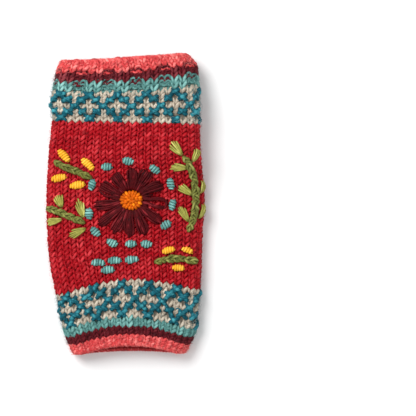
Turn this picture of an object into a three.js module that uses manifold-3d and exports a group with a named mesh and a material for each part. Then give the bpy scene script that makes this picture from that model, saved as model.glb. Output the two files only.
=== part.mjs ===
// A hand-knitted, embroidered hand warmer for a left hand, lying palm down on a table.
// It is a flattened tube of thick knitted fabric, open at both ends: wrist end at -Y, finger end at +Y,
// thumb side at +X, back of the hand up. The thumb sleeve is folded under the palm and points to the
// fingers. Ribbed and patterned rings of other yarns finish both ends, and raised embroidery stands on
// the back. Millimetres, +Z up. The origin is under the middle of the object, on the table.
import * as THREE from "three";
import { mergeVertices } from "three/addons/utils/BufferGeometryUtils.js";
import Module from "manifold-3d";

const wasm = await Module();
wasm.setup();
const { smoothstep, lerp, degToRad } = THREE.MathUtils;

// Sizes of the hand tube
const HAND_LENGTH = 190; // rim to rim
const HAND_WIDTH = 100; // lying flat, at the widest course
const FABRIC = 3.2; // thickness of the knitted fabric
const HAND_GAP = 5.4; // between the two layers, at the sides
const CROWN = 1.5; // how much further the back stands off along its middle
const RIB_DEPTH = 0.6; // how far the purl wales of the ribbed ends sink in
const CLEARANCE = 0.3; // between neighbouring pieces
const SEAT_DEPTH = 0.8; // how much deeper a raised stitch is built before it is fitted to the back

// Sizes of the thumb sleeve
const THUMB_WIDTH = 36;
const THUMB_FABRIC = 2.8;
const THUMB_GAP = 4.6; // between its two layers
const THUMB_BASE_Y = 14; // where it leaves the palm
const THUMB_LENGTH = 51; // from there to its rim
const THUMB_RIM = 5.5; // the bound-off edge
const THUMB_CENTRE_X = 24;
const THUMB_SLANT = 0.12; // the rim is higher towards the hand's outer edge
const THUMB_TAPER = 0.93; // width at the rim, as a share of the width at the base
const PALM_RAMP = 15; // length over which the palm climbs onto the folded thumb
const PALM_SLOPE = 14; // width over which it climbs from the side
const BACK_SPREAD = 24; // how much wider the back follows that step
const BACK_SETTLE = 1.5; // how much less the back rises over the thumb than the palm does

// Sizes of the embroidery
const FLOWER_X = 4;
const FLOWER_Y = 3.1;
const CENTRE_RADIUS = 7;
const CENTRE_HEIGHT = 2.6;
const PETAL_REACH = 24; // from the flower's centre to the longest petal's tip
const PETAL_WIDTH = 7.4;
const PETAL_HEIGHT = 2.2;
const KNOT_LENGTH = 7.7; // knots of the ring round the flower
const KNOT_WIDTH = 5;
const KNOT_HEIGHT = 2.8;
const BUD_LENGTH = 10.4;
const BUD_WIDTH = 4.8;
const BUD_HEIGHT = 3;
const STEM_WIDTH = 4;
const STEM_HEIGHT = 2;
const SPRAY_LENGTH = 27; // of the two sprays at the left and of the bar
const VINE_LENGTH = 50;
const LOOSE_KNOT_LENGTH = 9.2; // knots of the loose group
const LEAF_LENGTH = 9.4;
const LEAF_WIDTH = 6;
const LEAF_HEIGHT = 1.8;

const HALF_LENGTH = HAND_LENGTH / 2;
const HALF_WIDTH = HAND_WIDTH / 2;
const FOLD_REACH = HAND_GAP / 2 + FABRIC; // half the height of the flat tube
const THUMB_REACH = THUMB_GAP / 2 + THUMB_FABRIC;
const THUMB_HEIGHT = 2 * THUMB_REACH;

// The courses of knitting, counted from the wrist rim. Edges of the tube at left and right are shares of
// the half width. The course's places on the back at left, middle and right, and on the palm's middle,
// are shares of the half length. Crown is a share of CROWN.
const COURSES = [
  { course: 0, left: -0.664, right: 0.761, yLeft: -1.0, yMiddle: -0.94, yRight: -0.993, yPalm: -0.98, crown: 2.4 },
  { course: 3, left: -0.727, right: 0.824, yLeft: -0.937, yMiddle: -0.87, yRight: -0.933, yPalm: -0.903, crown: 2.2 },
  { course: 5, left: -0.764, right: 0.868, yLeft: -0.886, yMiddle: -0.813, yRight: -0.886, yPalm: -0.843, crown: 2.0 },
  { course: 7, left: -0.802, right: 0.899, yLeft: -0.83, yMiddle: -0.756, yRight: -0.833, yPalm: -0.783, crown: 1.8 },
  { course: 14, left: -0.884, right: 0.95, yLeft: -0.603, yMiddle: -0.506, yRight: -0.569, yPalm: -0.536, crown: 1.4 },
  { course: 20, left: -0.96, right: 0.962, yLeft: -0.382, yMiddle: -0.309, yRight: -0.356, yPalm: -0.322, crown: 1.1 },
  { course: 26, left: -0.994, right: 0.981, yLeft: -0.149, yMiddle: -0.115, yRight: -0.135, yPalm: -0.115, crown: 1.0 },
  { course: 30, left: -1.0, right: 1.0, yLeft: 0.005, yMiddle: 0.015, yRight: 0.008, yPalm: 0.015, crown: 1.0 },
  { course: 36, left: -0.986, right: 0.975, yLeft: 0.212, yMiddle: 0.212, yRight: 0.209, yPalm: 0.212, crown: 0.9 },
  { course: 41, left: -0.962, right: 0.95, yLeft: 0.386, yMiddle: 0.376, yRight: 0.372, yPalm: 0.376, crown: 0.9 },
  { course: 46, left: -0.931, right: 0.941, yLeft: 0.553, yMiddle: 0.539, yRight: 0.529, yPalm: 0.539, crown: 1.0 },
  { course: 50, left: -0.947, right: 0.945, yLeft: 0.666, yMiddle: 0.659, yRight: 0.673, yPalm: 0.659, crown: 1.1 },
  { course: 53, left: -0.934, right: 0.932, yLeft: 0.753, yMiddle: 0.746, yRight: 0.78, yPalm: 0.753, crown: 1.2 },
  { course: 55, left: -0.918, right: 0.924, yLeft: 0.813, yMiddle: 0.813, yRight: 0.85, yPalm: 0.82, crown: 1.3 },
  { course: 57, left: -0.89, right: 0.905, yLeft: 0.876, yMiddle: 0.873, yRight: 0.92, yPalm: 0.883, crown: 1.4 },
  { course: 60, left: -0.821, right: 0.786, yLeft: 0.96, yMiddle: 0.973, yRight: 1.0, yPalm: 0.983, crown: 1.6 },
];
const LAST_COURSE = COURSES.at(-1).course;

// Shallow dents of the soft back: place as shares of the half sizes, reach as a share of the half width,
// depth as a share of the gap.
const DENTS = [
  { x: -0.55, y: 0.62, reach: 0.42, depth: 0.1 },
  { x: 0.1, y: -0.62, reach: 0.5, depth: -0.12 },
  { x: -0.35, y: -0.3, reach: 0.45, depth: 0.1 },
  { x: 0.62, y: -0.45, reach: 0.4, depth: 0.09 },
];

// A smooth curve through one column of COURSES
function column(name, course) {
  const at = Math.max(0, COURSES.findLastIndex((row) => row.course <= course));
  const i = Math.min(at, COURSES.length - 2);
  const [before, a, b, after] = [i - 1, i, i + 1, i + 2].map((n) => COURSES[THREE.MathUtils.clamp(n, 0, COURSES.length - 1)]);
  const span = b.course - a.course;
  const t = (course - a.course) / span;
  const slopeA = (span * (b[name] - before[name])) / (b.course - before.course);
  const slopeB = (span * (after[name] - a[name])) / (after.course - a.course);
  const t2 = t * t;
  const t3 = t2 * t;
  return (
    (2 * t3 - 3 * t2 + 1) * a[name] + (t3 - 2 * t2 + t) * slopeA + (3 * t2 - 2 * t3) * b[name] + (t3 - t2) * slopeB
  );
}

// How far across and along the folded thumb lies under a point, from 0 to 1
function overThumb(x, y, spread) {
  const inner = THUMB_CENTRE_X - THUMB_WIDTH / 2;
  const outer = THUMB_CENTRE_X + THUMB_WIDTH / 2;
  const tip = THUMB_BASE_Y + THUMB_LENGTH;
  const across = smoothstep(x, inner - PALM_SLOPE - spread, inner + spread / 2);
  const outside = 1 - 0.3 * smoothstep(x, outer + 1, outer + 1 + PALM_SLOPE);
  const along = smoothstep(y, THUMB_BASE_Y - spread / 2, THUMB_BASE_Y + PALM_RAMP + spread / 4);
  const beyond = 1 - 0.3 * smoothstep(y, tip + 3, Math.max(tip + 4, HALF_LENGTH));
  return across * outside * along * beyond;
}

function backDent(x, y) {
  return DENTS.reduce((sum, dent) => {
    const away = Math.hypot(x - dent.x * HALF_WIDTH, y - dent.y * HALF_LENGTH) / (dent.reach * HALF_WIDTH);
    return sum + dent.depth * HAND_GAP * (1 - smoothstep(away, 0, 1));
  }, 0);
}

// Half the width of the flat part of the tube, and its middle
function flatHalf(course) {
  return ((column("right", course) - column("left", course)) * HALF_WIDTH) / 2 - FOLD_REACH;
}
function flatMiddle(course) {
  return ((column("right", course) + column("left", course)) * HALF_WIDTH) / 2;
}

// Place along Y of a course: across runs from -1 at the left to 1 at the right, palm from 0 on the back to 1
function courseY(course, across, palm) {
  const [left, right] = [column("yLeft", course), column("yRight", course)];
  const middle = lerp(column("yMiddle", course), column("yPalm", course), palm);
  const share = middle + ((right - left) / 2) * across + ((left + right) / 2 - middle) * across * across;
  return share * HALF_LENGTH;
}

// A point of the tube's wall: side is "back" or "palm" with share across from left to right, or a fold,
// "leftFold" or "rightFold", with share from back to palm. Reach is the distance from the hollow's middle.
function wallPoint(side, share, course, reach) {
  const half = flatHalf(course);
  const isFold = side.endsWith("Fold");
  const angle = isFold ? Math.PI * share : side === "palm" ? Math.PI : 0;
  const foldSign = side === "leftFold" ? -1 : 1;
  const across = isFold ? foldSign : 2 * share - 1;
  const palm = (1 - Math.cos(angle)) / 2;
  const outward = isFold ? foldSign * reach * Math.sin(angle) : 0;
  const x = flatMiddle(course) + across * half + outward;
  const y = courseY(course, across, palm);
  const rise = (THUMB_HEIGHT + CLEARANCE) * overThumb(x, y, 0);
  const backRise = (THUMB_HEIGHT + CLEARANCE - BACK_SETTLE) * overThumb(x, y, BACK_SPREAD);
  const crown = (1 - palm) * (CROWN * column("crown", course) * (1 - across * across) - backDent(x, y));
  const z = FOLD_REACH + reach * Math.cos(angle) + crown + lerp(backRise, rise, palm);
  return new THREE.Vector3(x, y, z);
}

// A closed mesh from loops of points. Each pair of neighbouring loops is joined by a band of faces.
function meshFromLoops(loops, pairs) {
  const size = loops[0].length;
  const positions = loops.flat().flatMap((point) => point.toArray());
  const faces = pairs.flatMap(([a, b]) =>
    loops[0].flatMap((_, i) => {
      const j = (i + 1) % size;
      return [a * size + i, a * size + j, b * size + j, a * size + i, b * size + j, b * size + i];
    }),
  );
  return new THREE.BufferGeometry()
    .setAttribute("position", new THREE.BufferAttribute(new Float32Array(positions), 3))
    .setIndex(faces);
}

// A sleeve: outer and inner loops, in order from -Y to +Y, closed by a flat ring at each end
function sleeve(outer, inner) {
  const count = outer.length;
  const loops = [...outer, ...inner];
  const steps = [...Array(count - 1).keys()];
  const pairs = [
    ...steps.map((i) => [i, i + 1]),
    ...steps.map((i) => [count + i + 1, count + i]),
    [count, 0],
    [count - 1, 2 * count - 1],
  ];
  return meshFromLoops(loops, pairs);
}

// A solid body through the loops. Its two ends are closed by strips, which start at this place in a loop
// and join the points that lie equally far before and after it.
function plug(loops, stripStart = 0) {
  const geometry = meshFromLoops(loops, [...Array(loops.length - 1).keys()].map((i) => [i, i + 1]));
  const size = loops[0].length;
  const last = (loops.length - 1) * size;
  const at = (step) => (stripStart + step + size) % size;
  const strip = [...Array(Math.floor(size / 2)).keys()].flatMap((k) => [
    [at(-k), at(-k - 1), at(k + 1)],
    [at(-k), at(k + 1), at(k)],
  ]);
  const faces = strip.filter(([a, b, c]) => a !== b && b !== c && a !== c);
  const caps = faces.flatMap(([a, b, c]) => [a, b, c, last + a, last + c, last + b]);
  return geometry.setIndex([...geometry.index.array, ...caps]);
}

// Stations round a section, clockwise seen from the wrist end: back, right fold, palm, left fold
function stationsRound(flatSteps, foldSteps) {
  const shares = (count) => [...Array(count).keys()].map((i) => i / count);
  return [
    ...shares(flatSteps).map((share) => ["back", share]),
    ...shares(foldSteps).map((share) => ["rightFold", share]),
    ...shares(flatSteps).map((share) => ["palm", 1 - share]),
    ...shares(foldSteps).map((share) => ["leftFold", 1 - share]),
  ];
}

// The wales run 18 across each layer and 4 round each fold, 44 in all: 11 repeats of the rib and of the
// bands' pattern
const FLAT_WALES = 18;
const FOLD_WALES = 4;
const RIB_GROOVE = 2.5; // where a pair of purl wales lies, and every 4 wales from there
const FOLD_STEPS = 6;
const PLAIN_STEPS = 12;
const PLAIN_STATIONS = stationsRound(PLAIN_STEPS, FOLD_STEPS);
const RIB_STATIONS = stationsRound(FLAT_WALES, FOLD_STEPS);

// Two knit wales, then two purl wales that sink in. The count of wales is from the left of the back.
function ribSink([side, share]) {
  const wale = {
    back: FLAT_WALES * share,
    rightFold: FLAT_WALES + FOLD_WALES * share,
    palm: FLAT_WALES + FOLD_WALES + FLAT_WALES * (1 - share),
    leftFold: 2 * FLAT_WALES + FOLD_WALES + FOLD_WALES * (1 - share),
  }[side];
  return (RIB_DEPTH * (1 + Math.cos((2 * Math.PI * (wale - RIB_GROOVE)) / 4))) / 2;
}

function handLoop(course, reach, stations, ribbed) {
  return stations.map((station) =>
    wallPoint(...station, course, reach - (ribbed ? ribSink(station) : 0)),
  );
}

// A ring of the tube between two courses, with half a clearance taken off each end that has a neighbour
function handRing(from, to, steps, ribbed) {
  const stations = ribbed ? RIB_STATIONS : PLAIN_STATIONS;
  const courses = [...Array(steps + 1).keys()].map((i) => lerp(from, to, i / steps));
  const gapAt = (course) => {
    if (course === 0 || course === LAST_COURSE) return 0;
    return course === from ? CLEARANCE / 2 : course === to ? -CLEARANCE / 2 : 0;
  };
  const loopsAt = (reach, sunk) =>
    courses.map((course) =>
      handLoop(course, reach, stations, sunk).map((point) => point.setY(point.y + gapAt(course))),
    );
  return sleeve(loopsAt(FOLD_REACH, ribbed), loopsAt(HAND_GAP / 2, false));
}

// The thumb sleeve's section: a flat tube with round sides, standing on the table
const THUMB_STEPS = 5;
function thumbLoop(y, reach, widthShare) {
  const half = (THUMB_WIDTH * widthShare) / 2 - THUMB_REACH;
  return stationsRound(THUMB_STEPS, FOLD_STEPS).map(([side, share]) => {
    const isFold = side.endsWith("Fold");
    const angle = isFold ? Math.PI * share : side === "palm" ? Math.PI : 0;
    const foldSign = side === "leftFold" ? -1 : 1;
    const across = (isFold ? foldSign : 2 * share - 1) * half;
    const outward = isFold ? foldSign * reach * Math.sin(angle) : 0;
    const slant = THUMB_SLANT * (across + outward) * smoothstep(y, THUMB_BASE_Y, THUMB_BASE_Y + THUMB_LENGTH);
    return new THREE.Vector3(
      THUMB_CENTRE_X + across + outward,
      y + slant,
      THUMB_REACH + reach * Math.cos(angle),
    );
  });
}

function thumbLoops(from, to, steps, reach, extra = 0) {
  return [...Array(steps + 1).keys()].map((i) => {
    const y = lerp(from, to, i / steps);
    const share = lerp(1, THUMB_TAPER, (y - THUMB_BASE_Y) / THUMB_LENGTH) + extra;
    return thumbLoop(y, reach, share);
  });
}

function asSolid(geometry) {
  const bare = new THREE.BufferGeometry().setAttribute("position", geometry.getAttribute("position"));
  const merged = mergeVertices(geometry.index ? bare.setIndex(geometry.index) : bare, 1e-4);
  return new wasm.Manifold(
    new wasm.Mesh({
      numProp: 3,
      vertProperties: merged.attributes.position.array,
      triVerts: new Uint32Array(merged.index.array),
    }),
  );
}

function asGeometry(solid) {
  const { vertProperties, triVerts } = solid.getMesh();
  return new THREE.BufferGeometry()
    .setAttribute("position", new THREE.BufferAttribute(vertProperties, 3))
    .setIndex(new THREE.BufferAttribute(triVerts, 1));
}

// The place on the back above x, as a distance along the section from the back's middle
function alongSection(x, course) {
  const half = flatHalf(course);
  const beyond = Math.abs(x - flatMiddle(course)) - half;
  if (beyond <= 0) return x - flatMiddle(course);
  const angle = Math.asin(Math.min(beyond / FOLD_REACH, 1));
  return Math.sign(x - flatMiddle(course)) * (half + angle * FOLD_REACH);
}

// The course that lies at y on the back, at this distance along the section
function courseAt(y, along) {
  let [low, high] = [0, LAST_COURSE];
  for (let i = 0; i < 40; i++) {
    const middle = (low + high) / 2;
    const across = THREE.MathUtils.clamp(along / flatHalf(middle), -1, 1);
    if (courseY(middle, across, 0) < y) low = middle;
    else high = middle;
  }
  return (low + high) / 2;
}

// A point above the back's outer face, which follows the fabric round its folds
function abovePoint(along, y, height) {
  const course = courseAt(y, along);
  const half = flatHalf(course);
  const reach = FOLD_REACH + CLEARANCE + height;
  if (Math.abs(along) <= half) return wallPoint("back", (along / half + 1) / 2, course, reach);
  const share = (Math.abs(along) - half) / (Math.PI * FOLD_REACH);
  return wallPoint(along < 0 ? "leftFold" : "rightFold", share, course, reach);
}

// The plain red part of the tube as a solid, a clearance larger all round: raised stitches are cut to it
const [PLAIN_FROM, PLAIN_TO, PLAIN_COURSE_STEPS] = [14, 46, 16];
const plainCourses = [...Array(PLAIN_COURSE_STEPS + 1).keys()].map((i) =>
  lerp(PLAIN_FROM, PLAIN_TO, i / PLAIN_COURSE_STEPS),
);
function plainBody(reach) {
  const loops = plainCourses.map((course) => handLoop(course, reach, PLAIN_STATIONS, false));
  return asSolid(plug(loops, PLAIN_STEPS + FOLD_STEPS / 2));
}
const seat = plainBody(FOLD_REACH + CLEARANCE);

// The section of a raised stitch, as shares of its half width, from one edge over the top to the other
// and back underneath. Up is a share of its height, and -1 is the depth it is built to.
const PAD_SECTION = [
  { across: -1, up: -1 },
  { across: -0.84, up: 0.66 },
  { across: 0, up: 1 },
  { across: 0.84, up: 0.66 },
  { across: 1, up: -1 },
];

// A raised pad on the back along a path of {along, y}. Widths and heights are given at each station.
function padSolid(path, widths, heights) {
  const loops = path.map((point, i) => {
    const [before, after] = [path[Math.max(i - 1, 0)], path[Math.min(i + 1, path.length - 1)]];
    const direction = new THREE.Vector2(after.along - before.along, after.y - before.y).normalize();
    return PAD_SECTION.map(({ across, up }) => {
      const offset = (across * widths[i]) / 2;
      const height = up < 0 ? -SEAT_DEPTH : up * heights[i];
      return abovePoint(point.along - direction.y * offset, point.y + direction.x * offset, height);
    });
  });
  return asSolid(plug(loops.reverse())).subtract(seat);
}

// A straight pad with round ends, from shares of its length and how wide it is there
const OVAL = [
  { along: 0, full: 0.4 },
  { along: 0.24, full: 0.97 },
  { along: 0.76, full: 0.97 },
  { along: 1, full: 0.4 },
];
const TEARDROP = [
  { along: 0, full: 0.34 },
  { along: 0.42, full: 0.76 },
  { along: 0.78, full: 1 },
  { along: 1, full: 0.32 },
];

function straightPad(start, degrees, length, width, height, form) {
  const angle = degToRad(degrees);
  const path = form.map(({ along }) => ({
    along: start.along + Math.cos(angle) * length * along,
    y: start.y + Math.sin(angle) * length * along,
  }));
  return padSolid(
    path,
    form.map(({ full }) => width * full),
    form.map(({ full }) => height * Math.sqrt(full)),
  );
}

// A place on the back given as it is seen from above
function placeOnBack(x, y) {
  const course = courseAt(y, alongSection(x, courseAt(y, 0)));
  return { along: alongSection(x, course), y };
}

function oval(x, y, degrees, length, width, height) {
  const centre = placeOnBack(x, y);
  const angle = degToRad(degrees);
  const start = {
    along: centre.along - (Math.cos(angle) * length) / 2,
    y: centre.y - (Math.sin(angle) * length) / 2,
  };
  return straightPad(start, degrees, length, width, height, OVAL);
}

const pieces = [];
function add(name, solid, colour) {
  const material = new THREE.MeshStandardMaterial({ color: colour, roughness: 0.95, metalness: 0 });
  const mesh = new THREE.Mesh(solid instanceof THREE.BufferGeometry ? solid : asGeometry(solid), material);
  mesh.name = name;
  pieces.push(mesh);
}

const RED = 0xc01f2c;
const CORAL = 0xe05a58;
const MAROON = 0x4e1420;
const AQUA = 0x6fbfb4;
const TEAL = 0x1f7f96;
const ORANGE = 0xf08a14;
const YELLOW = 0xf6c22f;
const MOSS = 0x64803a;
const LEAF_GREEN = 0xa3b352;

// The rings of other yarns at both ends of the tube
const RINGS = [
  { name: "wrist_rim", from: 0, to: 3, steps: 1, ribbed: true, colour: CORAL },
  { name: "wrist_stripe_maroon", from: 3, to: 5, steps: 1, ribbed: true, colour: MAROON },
  { name: "wrist_stripe_aqua", from: 5, to: 7, steps: 1, ribbed: true, colour: AQUA },
  { name: "wrist_band", from: 7, to: 14, steps: 3, ribbed: false, colour: TEAL },
  { name: "finger_band", from: 46, to: 53, steps: 3, ribbed: false, colour: TEAL },
  { name: "finger_stripe_aqua", from: 53, to: 55, steps: 1, ribbed: true, colour: AQUA },
  { name: "finger_stripe_maroon", from: 55, to: 57, steps: 1, ribbed: true, colour: MAROON },
  { name: "finger_rim", from: 57, to: 60, steps: 1, ribbed: true, colour: CORAL },
];
RINGS.forEach((ring) => add(ring.name, handRing(ring.from, ring.to, ring.steps, ring.ribbed), ring.colour));

// The plain red tube between the bands, with the hole that the thumb sleeve passes through, and the
// sleeve itself, which ends at the palm's inner face
function addHandAndThumb() {
  const hollow = plainBody(HAND_GAP / 2);
  const base = THUMB_BASE_Y;
  const tip = THUMB_BASE_Y + THUMB_LENGTH;
  const cutterShare = (2 * CLEARANCE) / THUMB_WIDTH;
  const cutterLoops = thumbLoops(base - CLEARANCE, tip, 5, THUMB_REACH + CLEARANCE, cutterShare);
  const cutter = asSolid(plug(cutterLoops, THUMB_STEPS + FOLD_STEPS / 2));
  const tube = asSolid(handRing(PLAIN_FROM, PLAIN_TO, PLAIN_COURSE_STEPS, false));
  const seam = tip - THUMB_RIM;
  const sleeveOf = (start, end, count) =>
    asSolid(sleeve(thumbLoops(start, end, count, THUMB_REACH), thumbLoops(start, end, count, THUMB_GAP / 2)));
  add("hand_tube", tube.subtract(cutter), RED);
  add("thumb_sleeve", sleeveOf(base, seam - CLEARANCE / 2, 5).subtract(hollow), RED);
  add("thumb_rim", sleeveOf(seam + CLEARANCE / 2, tip, 1), RED);
}
addHandAndThumb();

// The flower: a round centre, petals that run out from it as one body, and a ring of knots.
// Petal reach is a share of PETAL_REACH. Each knot stands off its own petals' tips by a share of the reach.
const PETALS = [
  { degrees: 23.6, reach: 0.93 },
  { degrees: 57.7, reach: 0.86 },
  { degrees: 88, reach: 0.81 },
  { degrees: 125, reach: 0.8 },
  { degrees: 156, reach: 0.88 },
  { degrees: 191, reach: 0.97 },
  { degrees: 219, reach: 1.04 },
  { degrees: 243, reach: 1.0 },
  { degrees: 268, reach: 1.01 },
  { degrees: 292, reach: 1.01 },
  { degrees: 322, reach: 0.97 },
  { degrees: 351.6, reach: 0.92 },
];
const RING_KNOTS = [
  { degrees: 20.7, reach: 1.12, tilt: 100 },
  { degrees: 51.3, reach: 1.0, tilt: 146 },
  { degrees: 94, reach: 1.0, tilt: 172 },
  { degrees: 127, reach: 1.05, tilt: 5 },
  { degrees: 160.2, reach: 1.1, tilt: 75 },
  { degrees: 199.3, reach: 1.17, tilt: 100 },
  { degrees: 222.6, reach: 1.27, tilt: 140 },
  { degrees: 246.5, reach: 1.25, tilt: 158 },
  { degrees: 269.5, reach: 1.19, tilt: 6 },
  { degrees: 288.6, reach: 1.25, tilt: 178 },
  { degrees: 323.3, reach: 1.15, tilt: 35 },
  { degrees: 351.8, reach: 1.1, tilt: 80 },
];
const HUB_SIDES = 12;
const PETAL_START = 0.75; // where a petal begins, as a share of the centre's radius

function addFlower() {
  const middle = placeOnBack(FLOWER_X, FLOWER_Y);
  const outward = (degrees, distance) => ({
    along: middle.along + Math.cos(degToRad(degrees)) * distance,
    y: middle.y + Math.sin(degToRad(degrees)) * distance,
  });
  const disc = (radius, low, high, dome) => {
    const ring = (share, height) =>
      [...Array(HUB_SIDES).keys()].map((i) => {
        const at = outward((360 * i) / HUB_SIDES, radius * share);
        return abovePoint(at.along, at.y, height);
      });
    return asSolid(plug([ring(1, low), ring(1, lerp(low, high, dome)), ring(0.6, high)]));
  };
  const hubTop = PETAL_HEIGHT / 2;
  const hub = disc(CENTRE_RADIUS, -SEAT_DEPTH, hubTop, 1).subtract(seat);
  const centreSeat = disc(CENTRE_RADIUS + CLEARANCE, hubTop, CENTRE_HEIGHT + PETAL_HEIGHT, 1);
  const petals = PETALS.map(({ degrees, reach }) =>
    straightPad(
      outward(degrees, CENTRE_RADIUS * PETAL_START),
      degrees,
      PETAL_REACH * reach - CENTRE_RADIUS * PETAL_START,
      PETAL_WIDTH,
      PETAL_HEIGHT,
      TEARDROP,
    ),
  );
  add("flower_petals", petals.reduce((all, petal) => all.add(petal), hub).subtract(centreSeat), MAROON);
  add("flower_centre", disc(CENTRE_RADIUS, hubTop + CLEARANCE, CENTRE_HEIGHT + hubTop, 0.6), ORANGE);
  RING_KNOTS.forEach(({ degrees, reach, tilt }, i) => {
    const at = outward(degrees, PETAL_REACH * reach);
    const angle = degToRad(tilt);
    const start = {
      along: at.along - (Math.cos(angle) * KNOT_LENGTH) / 2,
      y: at.y - (Math.sin(angle) * KNOT_LENGTH) / 2,
    };
    add(
      "ring_knot_" + String(i + 1).padStart(2, "0"),
      straightPad(start, tilt, KNOT_LENGTH, KNOT_WIDTH, KNOT_HEIGHT, OVAL),
      AQUA,
    );
  });
}
addFlower();

// The sprays. A stem is a path seen from above, and each has an anchor, as shares of the hand's half
// sizes, from which its own points are counted in shares of its length.
const SPRAYS = {
  bud_spray: {
    colour: MOSS, x: -0.9, y: 0.285, length: SPRAY_LENGTH,
    path: [{ x: 0, y: 0 }, { x: 0.2, y: -0.12 }, { x: 0.52, y: -0.24 }, { x: 0.88, y: -0.4 }],
    buds: [
      { x: 0.23, y: 0.12, tilt: -46, size: 1 },
      { x: 0.79, y: -0.08, tilt: -42, size: 1 },
      { x: 0.12, y: -0.4, tilt: 14, size: 0.95 },
      { x: 0.55, y: -0.57, tilt: 10, size: 1 },
    ],
    leaves: [],
  },
  leaf_spray: {
    colour: MOSS, x: -0.985, y: -0.03, length: SPRAY_LENGTH,
    path: [{ x: 0, y: 0 }, { x: 0.29, y: -0.096 }, { x: 0.6, y: -0.23 }, { x: 0.87, y: -0.35 }],
    buds: [],
    leaves: [
      { x: 0.32, y: 0.06, tilt: 108, length: 0.8, width: 1.05 },
      { x: 0.83, y: -0.175, tilt: 108, length: 1.1, width: 1.0 },
      { x: 0.29, y: -0.27, tilt: 192, length: 0.95, width: 0.85 },
      { x: 0.85, y: -0.5, tilt: 205, length: 1.05, width: 0.95 },
    ],
  },
  vine: {
    colour: MOSS, x: 0.69, y: 0.34, length: VINE_LENGTH,
    path: [{ x: 0.05, y: -0.05 }, { x: 0.13, y: -0.17 }, { x: 0.195, y: -0.42 }, { x: 0.19, y: -0.76 }, { x: 0.11, y: -1.0 }],
    buds: [],
    leaves: [
      { x: 0.015, y: -0.015, tilt: 131, length: 1.05, width: 1.1 },
      { x: 0.175, y: -0.1, tilt: 66, length: 0.95, width: 0.72 },
      { x: 0.075, y: -0.195, tilt: 178, length: 1.0, width: 0.85 },
      { x: 0.142, y: -0.52, tilt: 146, length: 0.95, width: 0.9 },
      { x: 0.1, y: -0.85, tilt: 122, length: 1.05, width: 0.85 },
      { x: 0.265, y: -0.49, tilt: 68, length: 0.9, width: 0.65 },
      { x: 0.25, y: -0.81, tilt: 66, length: 1.0, width: 0.7 },
    ],
  },
  bar: {
    colour: MOSS, x: 0.376, y: -0.385, length: SPRAY_LENGTH,
    path: [{ x: 0, y: -0.02 }, { x: 0.3, y: 0.055 }, { x: 0.65, y: 0.06 }, { x: 1.0, y: 0.0 }],
    buds: [
      { x: 0.32, y: 0.26, tilt: 16, size: 0.85 },
      { x: 0.76, y: 0.255, tilt: -18, size: 0.75 },
      { x: 0.55, y: -0.15, tilt: 0, size: 0.8 },
    ],
    leaves: [],
  },
};
const STEM_STEPS = 7;

function addSpray(name, spray) {
  const [originX, originY] = [spray.x * HALF_WIDTH, spray.y * HALF_LENGTH];
  const seen = (point) => [originX + point.x * spray.length, originY + point.y * spray.length];
  const curve = new THREE.CatmullRomCurve3(spray.path.map((point) => new THREE.Vector3(...seen(point), 0)));
  const path = curve.getPoints(STEM_STEPS).map((point) => placeOnBack(point.x, point.y));
  const round = path.map((_, i) => (i === 0 || i === STEM_STEPS ? 0.5 : 1));
  const stem = padSolid(
    path,
    round.map((share) => share * STEM_WIDTH),
    round.map((share) => share * STEM_HEIGHT),
  );
  add(name + "_stem", stem, spray.colour);
  spray.buds.forEach((bud, i) => {
    const [length, width] = [BUD_LENGTH * bud.size, BUD_WIDTH * Math.sqrt(bud.size)];
    add(name + "_bud_" + (i + 1), oval(...seen(bud), bud.tilt, length, width, BUD_HEIGHT), YELLOW);
  });
  spray.leaves.forEach((leaf, i) => {
    const [length, width] = [LEAF_LENGTH * leaf.length, LEAF_WIDTH * leaf.width];
    const pad = straightPad(placeOnBack(...seen(leaf)), leaf.tilt, length, width, LEAF_HEIGHT, TEARDROP);
    add(name + "_leaf_" + (i + 1), pad, LEAF_GREEN);
  });
}
Object.entries(SPRAYS).forEach(([name, spray]) => addSpray(name, spray));

// The loose group of knots under the flower, placed in shares of the hand's half sizes
const LOOSE_KNOTS = [
  { x: -0.34, y: -0.396, tilt: 0 },
  { x: -0.13, y: -0.38, tilt: 4 },
  { x: 0.085, y: -0.373, tilt: 9 },
  { x: -0.22, y: -0.442, tilt: 8 },
];
LOOSE_KNOTS.forEach(({ x, y, tilt }, i) =>
  add(
    "loose_knot_" + (i + 1),
    oval(x * HALF_WIDTH, y * HALF_LENGTH, tilt, LOOSE_KNOT_LENGTH, KNOT_WIDTH, KNOT_HEIGHT),
    AQUA,
  ),
);

const handWarmer = new THREE.Group();
handWarmer.add(...pieces);
const bounds = new THREE.Box3().setFromObject(handWarmer);
const middle = bounds.getCenter(new THREE.Vector3());
handWarmer.position.set(-middle.x, -middle.y, -bounds.min.z);
export default handWarmer;
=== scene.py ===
"""The knitted hand warmer, dressed in its yarn: every stitch of the fabric is a loop of yarn laid on
the hand's surface, and every stitch of the embroidery is a strand on its back. Lengths are millimetres
in the part's own frame, +X towards the thumb side, +Y towards the fingers, and become metres in
YarnMesh.piece."""

import math

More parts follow.
